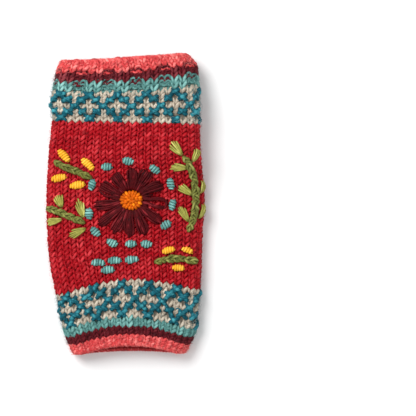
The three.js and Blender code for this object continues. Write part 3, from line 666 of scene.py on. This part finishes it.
# The light colour of each yarn is its light fibres and also its painted highlight; the dark one its dark
# fibres, its uneven dye and the painted shade in its ply grooves.
RED = wool("red wool", (156, 0, 16), (228, 76, 82), (76, 0, 6), fleck=0.75)
CORAL = wool("coral wool", (204, 64, 66), (250, 164, 156), (130, 20, 30), fleck=0.75)
MAROON = wool("maroon wool", (94, 16, 26), (150, 72, 76), (34, 2, 8), fleck=0.85)
AQUA = wool("aqua wool", (86, 135, 130), (162, 214, 206), (20, 70, 72))
KNOT = wool("knot wool", (92, 144, 138), (156, 210, 200), (20, 72, 74))
TEAL = wool("teal wool", (16, 90, 104), (74, 158, 166), (2, 36, 50), fleck=0.8)
NATURAL = wool("natural wool", (186, 174, 156), (232, 224, 210), (118, 106, 92))
PETAL = wool("petal wool", (86, 5, 13), (136, 40, 46), (26, 0, 4), fleck=0.7)
ORANGE = wool("orange wool", (216, 98, 0), (252, 164, 30), (142, 48, 0))
YELLOW = wool("yellow wool", (240, 176, 44), (252, 210, 100), (196, 118, 14))
MOSS = wool("moss green wool", (113, 116, 54), (158, 162, 92), (50, 60, 24))
LEAF = wool("leaf green wool", (160, 158, 74), (206, 202, 124), (94, 98, 36))

RIB_DEPTH, RIB_RISE = -0.38, 0.12  # heights of the ribbing's purled and knitted wales
RIM_SHARE = 0.4  # of these that is left at a rim
RIB_ROUGH = 1.6
RIB_OVERLAP = 1.15  # height of the ribbing's loops, in rows
RIB_FUZZ, RIM_FUZZ = (230, 1.6), (330, 3.2)  # number of fibres to a course, and their tone, a painted sheen that lightens them
HALO = 0.65  # how far loose fibres lie about a rim's edge, in courses
# the halo's fibres are painted lighter still, as painted sheen
HALO_FIBRES, HALO_BASE, HALO_PAINTED_SHEEN = 900, 0.9, 4.0


def ribbed_ring(node_name, rows, purled, material, slot, rng, edge=None, shade=0.0):
    """A ring of ribbing. Purled holds the rows whose wales between the ribs are purled. In the others they
    just lie deeper. Edge is the course of a rim's edge."""
    yarn = YarnMesh()
    row = RIB_OVERLAP * (max(rows) - min(rows)) / (len(rows) - 1)
    in_groove = [wale % REPEAT in RIB_PURLS for wale in range(WALES)]
    lifts = (1 if edge is None else RIM_SHARE) * np.where(in_groove, RIB_DEPTH, RIB_RISE)
    for course in rows:
        kinds = [PURL if course in purled and deep else KNIT for deep in in_groove]
        look = {"lifts": lifts, "ribbed": True, "row": row, "rough": RIB_ROUGH, "shade": shade}
        knit_round(yarn, course, kinds, rng, **look)
    low, high = min(rows) - 0.5, max(rows) + 0.5
    if edge is not None:
        edge_cord(yarn, edge, rng)
        low, high = min(low, edge), max(high, edge)
    lining(yarn, low, high)
    count, tone_and_painted_light = RIB_FUZZ if edge is None else RIM_FUZZ
    fuzz(yarn, (low, high), round(count * (high - low)), rng, tone_and_painted_light=tone_and_painted_light)
    if edge is not None:
        fuzz(yarn, (edge - HALO, edge + HALO), HALO_FIBRES, rng, base=HALO_BASE, tone_and_painted_light=HALO_PAINTED_SHEEN)
    yarn.piece(node_name + "_knit", material, slot, node_name)


# The pattern of the bands over a repeat of 4 wales. The natural wool is knitted in a row for each course,
# listed from the finger side, and passes behind at each T. The teal bumps cover those places in ridges,
# each with its place in rows from the finger side and the wales that it stands on
BAND_CHART = ("Tnnn", "TTnT", "nTnT", "nnTn", "nTnT", "TTnT", "Tnnn")
BAND_RIDGES = ((0.8, "Tnnn"), (1.9, "nTnT"), (3.4, "nnTn"), (4.7, "nTnT"), (6.25, "Tnnn"))
BAND_DEPTH = -0.4  # height of the natural wool
BAND_FUZZ, BUMP_FUZZ, BUMP_FUZZ_BASE = 700, 900, 1.7
BAND_SEAM = 0.1  # how far the lining reaches under the next rings


def band_ring(node_name, first, bump, rng):
    natural, teal = YarnMesh(), YarnMesh()
    last = first + len(BAND_CHART)

    def kinds(chart_row, at_teal, elsewhere):
        return [at_teal if chart_row[wale % REPEAT] == "T" else elsewhere for wale in range(WALES)]

    for i, row in enumerate(reversed(BAND_CHART)):
        knit_round(natural, first + i + 0.5, kinds(row, FLOAT, KNIT), rng, lifts=BAND_DEPTH)
    for place, row in BAND_RIDGES:
        knit_round(teal, last - place, kinds(row, BUMP, FLOAT), rng, bump=bump)
    fuzz(natural, (first, last), BAND_FUZZ, rng)
    fuzz(teal, (first, last), BUMP_FUZZ, rng, base=BUMP_FUZZ_BASE)
    lining(natural, first - BAND_SEAM, last + BAND_SEAM)
    natural.piece(node_name + "_natural", NATURAL, "patterned_yarn", node_name)
    teal.piece(node_name + "_teal", TEAL, "patterned_yarn", node_name)


HOLE_EDGE = 1  # how far inside the sleeve's sides the hole ends
HOLE_SHARE = 0.8  # of the palm's ramp, which the hole takes up
PALM_FACING = -0.99  # the palm's way out has a lower Z than this
RED_FUZZ = 2300


def thumb_hole(course, wale):
    """True where the palm opens into the thumb sleeve."""
    point, way = hand_surface(wale, course, 0)
    inside = np.abs(point[..., 0] - THUMB_CENTRE_X) < THUMB_WIDTH / 2 - HOLE_EDGE
    hidden = (point[..., 1] > THUMB_BASE_Y) & (point[..., 1] < THUMB_BASE_Y + HOLE_SHARE * PALM_RAMP)
    return (way[..., 2] < PALM_FACING) & inside & hidden


def red_part(name, first_row, last_row, rng):
    """The red rows from one to another, each of which is this many courses high."""
    yarn = YarnMesh()
    row = (RED_TO - RED_FROM) / RED_ROWS
    for i in range(first_row, last_row):
        course = RED_FROM + row * (i + 0.5)
        hole = thumb_hole(np.full(WALES, course), np.arange(WALES, dtype=float))
        knit_round(yarn, course, [HOLE if h else KNIT for h in hole], rng, row=row, lean=RED_LEAN)
    courses = (RED_FROM + row * first_row, RED_FROM + row * last_row)
    lining(yarn, *courses, skip=thumb_hole)
    fuzz(yarn, courses, RED_FUZZ, rng)
    yarn.piece(name, RED, "red_yarn", "hand_tube")


THUMB_RADIUS = YARN_RADIUS * 0.95
THUMB_RIM = THUMB_COURSES - 2  # the course where the sleeve's rim begins
THUMB_EDGE = THUMB_COURSES - 0.5
THUMB_PURLS = THUMB_COURSES - 1.6


def knit_thumb(rng):
    sleeve, rim = YarnMesh(thumb_surface, THUMB_WALES), YarnMesh(thumb_surface, THUMB_WALES)
    for i in range(THUMB_RIM):
        knit_round(sleeve, i + 0.5, [KNIT] * THUMB_WALES, rng, radius=THUMB_RADIUS, lean=RED_LEAN)
    lining(sleeve, 0, THUMB_RIM)
    knit_round(rim, THUMB_PURLS, [PURL] * THUMB_WALES, rng, radius=THUMB_RADIUS)
    edge_cord(rim, THUMB_EDGE, rng, ribbed=False)
    lining(rim, THUMB_RIM, THUMB_EDGE)
    sleeve.piece("thumb_sleeve_knit", RED, "red_yarn", "thumb_sleeve")
    rim.piece("thumb_rim_knit", RED, "red_yarn", "thumb_rim")


rng = np.random.default_rng(7)
ribbed_ring("wrist_rim", (2.5, 1.7, 0.9), (), CORAL, "coral_yarn", rng, edge=0.3)
# painted shade: the wrist's maroon stripe is painted two tones darker, as shade where the hand falls away
ribbed_ring("wrist_stripe_maroon", (3.5, 4.5), (), MAROON, "maroon_yarn", rng, shade=-2.0)
ribbed_ring("wrist_stripe_aqua", (5.5, 6.5), (), AQUA, "aqua_yarn", rng)
band_ring("wrist_band", 7, 1.1, rng)
red_part("hand_lower_knit", 0, RED_ROWS // 2, rng)
red_part("hand_upper_knit", RED_ROWS // 2, RED_ROWS, rng)
band_ring("finger_band", RED_TO, 1.0, rng)
ribbed_ring("finger_stripe_aqua", (53.5, 54.5), (53.5, 54.5), AQUA, "aqua_yarn", rng)
ribbed_ring("finger_stripe_maroon", (55.5, 56.5), (55.5, 56.5), MAROON, "maroon_yarn", rng)
ribbed_ring("finger_rim", (57.5, 58.25, 59.0), (57.5,), CORAL, "coral_yarn", rng, edge=59.45)
knit_thumb(rng)


# Sizes and places of the embroidery, as in the part's source
FLOWER_X = 4
FLOWER_Y = 3.1
CENTRE_RADIUS = 7
CENTRE_HEIGHT = 2.6
PETAL_REACH = 24
PETAL_WIDTH = 7.4
PETAL_HEIGHT = 2.2
KNOT_SIZE = (7.7, 5, 2.8)  # length, width and height
LOOSE_KNOT_SIZE = (9.2, 5, 2.8)
BUD_LENGTH = 10.4
BUD_WIDTH = 4.8
BUD_HEIGHT = 3
STEM_WIDTH = 4
STEM_HEIGHT = 2
SPRAY_LENGTH = 27
VINE_LENGTH = 50
LEAF_LENGTH = 9.4
LEAF_WIDTH = 6
LEAF_HEIGHT = 1.8

# Degrees and reach, a share of PETAL_REACH, of each petal, and degrees, reach and tilt of each ring knot
PETALS = (
    (23.6, 0.93), (57.7, 0.86), (88, 0.81), (125, 0.8), (156, 0.88), (191, 0.97),
    (219, 1.04), (243, 1.0), (268, 1.01), (292, 1.01), (322, 0.97), (351.6, 0.92),
)
OPEN_PETAL = 351.6  # this one is sewn as a ring, and the red shows through it
RING_KNOTS = (
    (20.7, 1.12, 100), (51.3, 1.0, 146), (94, 1.0, 172), (127, 1.05, 5), (160.2, 1.1, 75), (199.3, 1.17, 100),
    (222.6, 1.27, 140), (246.5, 1.25, 158), (269.5, 1.19, 6), (288.6, 1.25, 178), (323.3, 1.15, 35),
    (351.8, 1.1, 80),
)
LOOSE_KNOTS = ((-0.34, -0.396, 0), (-0.13, -0.38, 4), (0.085, -0.373, 9), (-0.22, -0.442, 8))

# Each spray has an anchor in shares of the hand's half sizes, and its points are shares of its length:
# the stem's path, buds as x, y, tilt and size, leaves as x, y, tilt, length and width
SPRAYS = {
    "bud_spray": {
        "anchor": (-0.9, 0.285), "length": SPRAY_LENGTH,
        "path": ((0, 0), (0.2, -0.12), (0.52, -0.24), (0.88, -0.4)),
        "buds": ((0.23, 0.12, -46, 1), (0.79, -0.08, -42, 1), (0.12, -0.4, 14, 0.95), (0.55, -0.57, 10, 1)),
    },
    "leaf_spray": {
        "anchor": (-0.985, -0.03), "length": SPRAY_LENGTH,
        "path": ((0, 0), (0.29, -0.096), (0.6, -0.23), (0.87, -0.35)),
        "leaves": (
            (0.32, 0.06, 108, 0.8, 1.05), (0.83, -0.175, 108, 1.1, 1.0),
            (0.29, -0.27, 192, 0.95, 0.85), (0.85, -0.5, 205, 1.05, 0.95),
        ),
    },
    "vine": {
        "anchor": (0.69, 0.34), "length": VINE_LENGTH,
        "path": ((0.05, -0.05), (0.13, -0.17), (0.195, -0.42), (0.19, -0.76), (0.11, -1.0)),
        "leaves": (
            (0.015, -0.015, 131, 1.05, 1.1), (0.175, -0.1, 66, 0.95, 0.72), (0.075, -0.195, 178, 1.0, 0.85),
            (0.142, -0.52, 146, 0.95, 0.9), (0.1, -0.85, 122, 1.05, 0.85), (0.265, -0.49, 68, 0.9, 0.65),
            (0.25, -0.81, 66, 1.0, 0.7),
        ),
    },
    "bar": {
        "anchor": (0.376, -0.385), "length": SPRAY_LENGTH,
        "path": ((0, -0.02), (0.3, 0.055), (0.65, 0.06), (1.0, 0.0)),
        "buds": ((0.32, 0.26, 16, 0.85), (0.76, 0.255, -18, 0.75), (0.55, -0.15, 0, 0.8)),
    },
}

STRAND_RADIUS = 0.78
PETAL_STRAND = 0.7
SUNK = -1.3  # height at which a strand's ends go into the fabric
LAID_ARCH, PETAL_ARCH = 3.4, 5  # the higher, the flatter a strand lies between its ends
LAID_TONES, PETAL_TONES = 1.2, 2.8  # how much tones drift along a strand

# Outlines of a petal: shares of the way from the flower's middle, and shares of the width there
PETAL_OUTLINE = (0, 0.2, 0.42, 0.62, 0.78, 0.92, 1), (0.34, 0.5, 0.74, 0.96, 1, 0.9, 0.6)
OPEN_OUTLINE = (0, 0.38, 0.55, 0.7, 0.86, 0.95, 1), (0.45, 0.5, 0.88, 1, 1, 0.8, 0.5)
PETAL_LANES = (-1, -0.58, -0.2, 0.2, 0.58, 1)  # places of the strands across it
OPEN_LANES = (-1, -0.7, 0.7, 1)
PETAL_STEPS = 13

WRAP_STEPS = 12
WRAP_RADIUS, LOOSE_RADIUS, BUD_RADIUS = 0.92, 0.9, 0.95  # of the yarn that is wound
WRAP_PAINTED_LIGHT, BUD_PAINTED_LIGHT = 1.7, 0.9  # painted light: how much lighter the turns' tops are painted than their sides
KNOT_WRAPS, LOOSE_WRAPS, BUD_WRAPS = 4, 5, 6


def along_section(x, course):
    """The place on the back above x, as a distance along the section from the back's middle."""
    half = flat_half(course)
    from_middle = x - flat_middle(course)
    beyond = np.abs(from_middle) - half
    angle = np.arcsin(np.clip(beyond / FOLD_REACH, 0, 1))
    return np.where(beyond <= 0, from_middle, np.sign(from_middle) * (half + angle * FOLD_REACH))


def course_at(y, along):
    """The course that lies at y on the back, at this distance along the section."""
    low, high = np.zeros(np.shape(y)), np.full(np.shape(y), float(LAST_COURSE))
    for _ in range(20):
        middle = (low + high) / 2
        below = course_y(middle, np.clip(along / flat_half(middle), -1, 1), 0) < y
        low, high = np.where(below, middle, low), np.where(below, high, middle)
    return (low + high) / 2


def on_back(along, y, height):
    """A point this high above the back's outer face, and the way up there."""
    course = course_at(y, along)
    half = flat_half(course)
    angle = np.maximum(np.abs(along) - half, 0) / FOLD_REACH
    outward = np.sign(along)
    across = np.clip(along / half, -1, 1)
    point = wall_point(across, angle, outward, course, FOLD_REACH + CLEARANCE + height)
    return point, way_out(angle, outward)


def place_on_back(x, y):
    """A place on the back given as it is seen from above, as distances along and Y."""
    course = course_at(y, along_section(x, course_at(y, 0.0)))
    return np.array([along_section(x, course), y])


def heading(degrees):
    return np.stack([np.cos(np.radians(degrees)), np.sin(np.radians(degrees))], axis=-1)


def uneven(rng, count, amount):
    """Tones that drift along a strand of so many points."""
    marks = max(2, count // 2)
    return np.interp(np.linspace(0, marks - 1, count), np.arange(marks), rng.normal(0, amount, marks))


def sewn(yarn, places, heights, radius, tone_and_painted_light, closed=False, shaded=1.0):
    path, up = on_back(places[:, 0], places[:, 1], heights)
    yarn.strand(path, radius, up, tone_and_painted_light, closed, shaded)


def laid(yarn, start, stop, top, rng, bow=0.0, radius=STRAND_RADIUS, steps=11):
    """A strand on the back that comes out of the fabric at one end and goes in at the other, straight or
    in a bow."""
    t = np.linspace(0, 1, steps)
    ahead = stop - start
    sideways = np.array([-ahead[1], ahead[0]]) / max(np.hypot(*ahead), 1e-6)
    places = start + ahead * t[:, None] + sideways * (bow * np.sin(math.pi * t))[:, None]
    heights = SUNK + (top - radius - SUNK) * (1 - np.abs(2 * t - 1) ** LAID_ARCH)
    tones = rng.normal(0, 1) + uneven(rng, steps, LAID_TONES)
    sewn(yarn, places, heights, radius * (0.8 + 0.2 * np.sin(math.pi * t) ** 0.5), tones)


def wrapped(yarn, centre, tilt, size, wraps, rng, radius=WRAP_RADIUS, painted_light=WRAP_PAINTED_LIGHT):
    """A bullion knot: one strand wound round and round a short line."""
    length, width, height = size
    t = np.linspace(0, 1, wraps * WRAP_STEPS + 1)
    full = 0.15 + 0.85 * np.sqrt(np.maximum(1 - np.abs(2 * t - 1) ** 2.4, 0))
    loose = 1 + 0.11 * np.interp(t * wraps, np.arange(wraps + 1), rng.normal(0, 1, wraps + 1))
    angle = TURN * wraps * t - math.pi / 2
    reach = (width / 2 - radius * 0.75) * full * loose
    rise = (height - 2 * radius) * full * loose
    far = (t - 0.5) * (length - 1.15 * radius)
    aside = reach * np.sin(angle) + rng.normal(0.25, 0.2) * np.sin(math.pi * t)
    places = centre + heading(tilt) * far[:, None] + heading(tilt + 90) * aside[:, None]
    heights = radius * 0.35 + rise * np.cos(angle)
    tones = np.repeat(rng.normal(0.4, 0.7, wraps + 1), WRAP_STEPS)[: len(t)]
    thin = (0.86 + 0.14 * np.abs(np.cos(angle / 2 + math.pi / 4))) * (0.62 + 0.38 * full)
    # painted light: the top of each turn is painted lighter and its sides darker, over random tones per turn
    sewn(yarn, places, heights, radius * thin, tones + painted_light * (np.cos(angle) - 0.2), shaded=0.55)


def sew_petal(yarn, middle, degrees, reach, rng):
    axis, sideways = heading(degrees), heading(degrees + 90)
    start, stop = CENTRE_RADIUS * 0.72, PETAL_REACH * reach
    t = np.linspace(0, 1, PETAL_STEPS)
    hollow = degrees == OPEN_PETAL
    full = np.interp(t, *(OPEN_OUTLINE if hollow else PETAL_OUTLINE))
    width = PETAL_WIDTH * (1 if hollow else 1 + rng.normal(-0.02, 0.06))
    bend = 0 if hollow else rng.normal(0, 0.7)
    grow = rng.normal(0.5, 0.4)
    for lane in OPEN_LANES if hollow else PETAL_LANES:
        if hollow:
            top, pull, end = PETAL_HEIGHT - 0.2, np.where(t > 0.4, 1.0, 0.9), stop
        else:
            lane = lane + rng.normal(0, 0.07)
            top = min(PETAL_HEIGHT - 0.3 * abs(lane) + rng.normal(0, 0.35), PETAL_HEIGHT + 0.2)
            pull = 1 + rng.normal(0, 0.1) + 0.1 * np.sin(5 * t + rng.uniform(0, TURN))
            end = stop + grow - 0.9 * abs(lane)
        far = start + (end + rng.normal(0, 0.45) - start) * t
        aside = lane * (width / 2 - PETAL_STRAND * 0.8) * full * pull + bend * np.sin(math.pi * t)
        places = middle + axis * far[:, None] + sideways * aside[:, None]
        heights = SUNK + (top - PETAL_STRAND - SUNK) * (1 - np.abs(2 * t - 1) ** PETAL_ARCH)
        tones = rng.normal(-1.2, 0.8) + uneven(rng, len(t), PETAL_TONES)
        sewn(yarn, places, heights, PETAL_STRAND, tones, shaded=0.5)
    if hollow:
        tip = middle + axis * (stop - 0.6)
        laid(yarn, tip - sideways * 3.0, tip + sideways * 3.0, PETAL_HEIGHT, rng, bow=-0.8)


# The centre's knots lie in rings. Each ring has its number of knots, the distances from the middle at which
# they start and stop, how high they stand over the CAD's centre and how thick they are
CENTRE_RINGS = ((18, 4.1, 6.6, -0.3, 1.1), (12, 2.3, 4.8, 0.1, 1.06), (6, 0.3, 2.8, 0.35, 1.02))
CENTRE_ROUNDS = (1.1, 2.7, 4.2, 5.4)  # distances from the middle of the rounds of yarn under the knots
ROUND_STEPS = 28
ROUND_DEPTH = 1.9  # of these under the knots' height
CENTRE_SHAPE = np.array([1.03, 0.87])  # the centre is wider than it is high
CENTRE_DROP = np.array([0, -0.9])  # and lies a little towards the wrist
BETWEEN_PETALS = (0.38, 0.62)  # places of the short strands there, as shares of the way to the next petal
BETWEEN_FROM, BETWEEN_TO = 5, 12.5


def sew_flower(rng):
    middle = place_on_back(FLOWER_X, FLOWER_Y)
    petals = YarnMesh()
    for degrees, reach in PETALS:
        sew_petal(petals, middle, degrees, reach, rng)
    for i, (degrees, _) in enumerate(PETALS):
        after = PETALS[(i + 1) % len(PETALS)][0] + (360 if i + 1 == len(PETALS) else 0)
        for share in BETWEEN_PETALS:
            axis = heading(lerp(degrees, after, share))
            stop = middle + axis * rng.normal(BETWEEN_TO, 0.9)
            laid(petals, middle + axis * BETWEEN_FROM, stop, PETAL_HEIGHT * 0.72, rng)
    petals.piece("flower_petals_sewn", PETAL, "petal_yarn", "flower_petals")

    centre = YarnMesh()
    core = middle + CENTRE_DROP
    height = PETAL_HEIGHT / 2 + CENTRE_HEIGHT
    for distance in CENTRE_ROUNDS:
        places = core + distance * CENTRE_SHAPE * heading(360 * np.arange(ROUND_STEPS) / ROUND_STEPS)
        # painted shade: the rounds under the knots are painted two tones darker
        sewn(centre, places, np.full(ROUND_STEPS, height - ROUND_DEPTH), 1.0, -2.0, closed=True)
    for spokes, inner, outer, top, radius in CENTRE_RINGS:
        for i in range(spokes):
            axis = heading(360 * i / spokes + rng.normal(0, 70 / spokes)) * CENTRE_SHAPE
            stop = core + axis * (outer + rng.normal(0, 0.25))
            laid(centre, core + axis * inner, stop, height + top, rng, radius=radius, steps=8)
    centre.piece("flower_centre_sewn", ORANGE, "orange_yarn", "flower_centre")

    for i, (degrees, reach, tilt) in enumerate(RING_KNOTS):
        place = middle + heading(degrees) * PETAL_REACH * reach
        sew_knot(f"ring_knot_{i + 1:02d}", place, tilt, KNOT_SIZE, KNOT_WRAPS, WRAP_RADIUS, rng)


def sew_knot(node_name, place, tilt, size, wraps, radius, rng):
    knot = YarnMesh()
    wrapped(knot, place, tilt, size, wraps, rng, radius=radius)
    knot.piece(node_name + "_sewn", KNOT, "knot_yarn", node_name)


STEM_LINK = 12.5  # length of one turn of a stem's braid
STEM_STRAND = 0.82
STEM_STRANDS = 4
STEM_STEP = 0.62
STEM_CORE = 1.3  # thickness of the strand beneath, in those of the others
STEM_POINTS = 25
LEAF_SPLIT = 4.6  # leaves that are wider than this have one strand more


def braid(yarn, places, rng):
    """The stem's stitches: thick strands that cross over each other in turn, and one that lies under them."""
    measured = np.concatenate([[0], np.cumsum(np.hypot(*np.diff(places, axis=0).T))])
    total = measured[-1]
    far = np.linspace(0, total, int(total / STEM_STEP) + 2)

    def place(at):
        return np.stack([np.interp(at, measured, places[:, k]) for k in (0, 1)], axis=-1)

    def wave(per_mm, height):
        return height * np.sin(per_mm * far + rng.uniform(0, TURN))

    def from_ends(low, high):
        return smoothstep(far, low, high) * smoothstep(total - far, low, high)

    ahead = unit(place(np.minimum(far + 1.2, total)) - place(np.maximum(far - 1.2, 0)))
    sideways = np.stack([-ahead[:, 1], ahead[:, 0]], axis=-1)
    full = from_ends(-1.5, 3.5)
    loose = 1 + wave(1.1, 0.1) + wave(2.3, 0.07)
    top = STEM_HEIGHT - 1.4 * (1 - from_ends(0, 1.6))
    # painted shade: the strand beneath is painted a tone darker, with random tones along it
    sewn(yarn, place(far), top - 1.9, STEM_STRAND * STEM_CORE, uneven(rng, len(far), 1.0) - 1)
    for i in range(STEM_STRANDS):
        angle = TURN * (far / STEM_LINK + i / STEM_STRANDS) + wave(0.55, 0.6)
        aside = (STEM_WIDTH / 2 - STEM_STRAND * 0.5) * np.sin(angle) * full * loose + rng.normal(0, 0.12)
        heights = top - STEM_STRAND - 0.2 + 0.6 * np.sin(2 * angle)
        # painted light: each strand is painted lighter where it crosses over and darker where it passes under
        tone_and_painted_light = rng.normal(0, 1) + 0.9 * np.sin(2 * angle) + uneven(rng, len(far), LAID_TONES)
        across = place(far) + sideways * aside[:, None]
        sewn(yarn, across, heights, STEM_STRAND * (0.75 + 0.25 * full), tone_and_painted_light, shaded=0.75)


def fan(yarn, start, tilt, length, width, rng):
    """A leaf: a few strands that spread from one hole, which lies under the stem."""
    axis, sideways = heading(tilt), heading(tilt + 90)
    wide = width > LEAF_SPLIT
    radius = STRAND_RADIUS * (0.84 if wide else 0.78)
    for lane in np.linspace(-1, 1, 5 if wide else 4) + rng.normal(0, 0.05):
        reach = length * (1.03 - 0.2 * lane * lane + rng.normal(0, 0.06)) - radius * 0.4
        aside = sideways * (lane * (width / 2 - radius * 0.7) + rng.normal(0, 0.14))
        stop = start + axis * reach + aside
        laid(yarn, start - axis * 1.3 + aside * 0.1, stop, LEAF_HEIGHT, rng, bow=0.35 * lane, radius=radius)


def sew_spray(name, spray, rng):
    origin = np.array(spray["anchor"]) * (HALF_WIDTH, HALF_LENGTH)

    def seen(x, y):
        return place_on_back(*(origin + np.array([x, y]) * spray["length"]))

    stem = YarnMesh()
    marks = np.arange(len(spray["path"]))
    along = np.linspace(0, marks[-1], STEM_POINTS)
    path = [curve(marks, values, along) for values in np.array(spray["path"], float).T]
    braid(stem, np.array([seen(*point) for point in zip(*path)]), rng)
    stem.piece(name + "_stem_sewn", MOSS, "stem_yarn", name + "_stem")
    for i, (x, y, tilt, scale) in enumerate(spray.get("buds", ())):
        bud, node_name = YarnMesh(), f"{name}_bud_{i + 1}"
        size = (BUD_LENGTH * scale, BUD_WIDTH * math.sqrt(scale), BUD_HEIGHT)
        wrapped(bud, seen(x, y), tilt, size, round(BUD_WRAPS * scale), rng, BUD_RADIUS, BUD_PAINTED_LIGHT)
        bud.piece(node_name + "_sewn", YELLOW, "yellow_yarn", node_name)
    for i, (x, y, tilt, length, width) in enumerate(spray.get("leaves", ())):
        leaf, node_name = YarnMesh(), f"{name}_leaf_{i + 1}"
        fan(leaf, seen(x, y), tilt, LEAF_LENGTH * length, LEAF_WIDTH * width, rng)
        leaf.piece(node_name + "_sewn", LEAF, "leaf_yarn", node_name)


rng = np.random.default_rng(21)
sew_flower(rng)
for name, spray in SPRAYS.items():
    sew_spray(name, spray, rng)
for i, (x, y, tilt) in enumerate(LOOSE_KNOTS):
    place = place_on_back(x * HALF_WIDTH, y * HALF_LENGTH)
    sew_knot(f"loose_knot_{i + 1}", place, tilt, LOOSE_KNOT_SIZE, LOOSE_WRAPS, LOOSE_RADIUS, rng)


# Floor, light and camera. The photograph is seen from straight above, and its frame's middle lies beside
# the hand, because the frame held both of a pair. The floor's and the light's sizes are metres.
FRAME_WIDTH = 263.9
FRAME_LEVEL = 8  # height at which the frame is so wide
VIEW_X = 52.4
VIEW_Y = -2.7
CAMERA_HEIGHT = 1700
SENSOR = 36
CLIP_END = 10
FLOOR_HALF = 3.0
PAPER = {"Base Color": (0.86, 0.86, 0.86, 1), "Roughness": 0.9, "Specular IOR Level": 0.0}
LIGHT_PLACE = Vector((-0.56, 0.58, 0.95))
LIGHT_AIM = Vector((0.02, 0, 0))
LIGHT_SIZE = 0.8
LIGHT_POWER = 14.6
SKY = {"Color": (1, 1, 1, 1), "Strength": 0.76}

scene = bpy.context.scene
camera = new_object("camera", bpy.data.cameras.new("camera"))
camera.data.lens = SENSOR * CAMERA_HEIGHT / FRAME_WIDTH
camera.data.sensor_width = SENSOR
camera.data.clip_end = CLIP_END
camera.location = ((VIEW_X + SHIFT_X) * MM, VIEW_Y * MM, (CAMERA_HEIGHT + FRAME_LEVEL) * MM)
scene.camera = camera

mesh = bpy.data.meshes.new("floor")
corners = [(x * FLOOR_HALF, y * FLOOR_HALF, 0) for x, y in ((-1, -1), (1, -1), (1, 1), (-1, 1))]
mesh.from_pydata(corners, [], [(0, 1, 2, 3)])
material, tree, shader = new_material("paper")
feed(tree, shader, PAPER)
mesh.materials.append(material)
floor = new_object("floor", mesh)

light = new_object("key", bpy.data.lights.new("key", "AREA"))
light.data.shape = "DISK"
light.data.size = LIGHT_SIZE
light.data.energy = LIGHT_POWER
light.location = LIGHT_PLACE
light.rotation_mode = "QUATERNION"
light.rotation_quaternion = (LIGHT_AIM - LIGHT_PLACE).to_track_quat("-Z", "Y")
scene.world = bpy.data.worlds.new("studio")
scene.world.use_nodes = True
feed(scene.world.node_tree, scene.world.node_tree.nodes["Background"].inputs, SKY)
scene.view_settings.view_transform = "Standard"
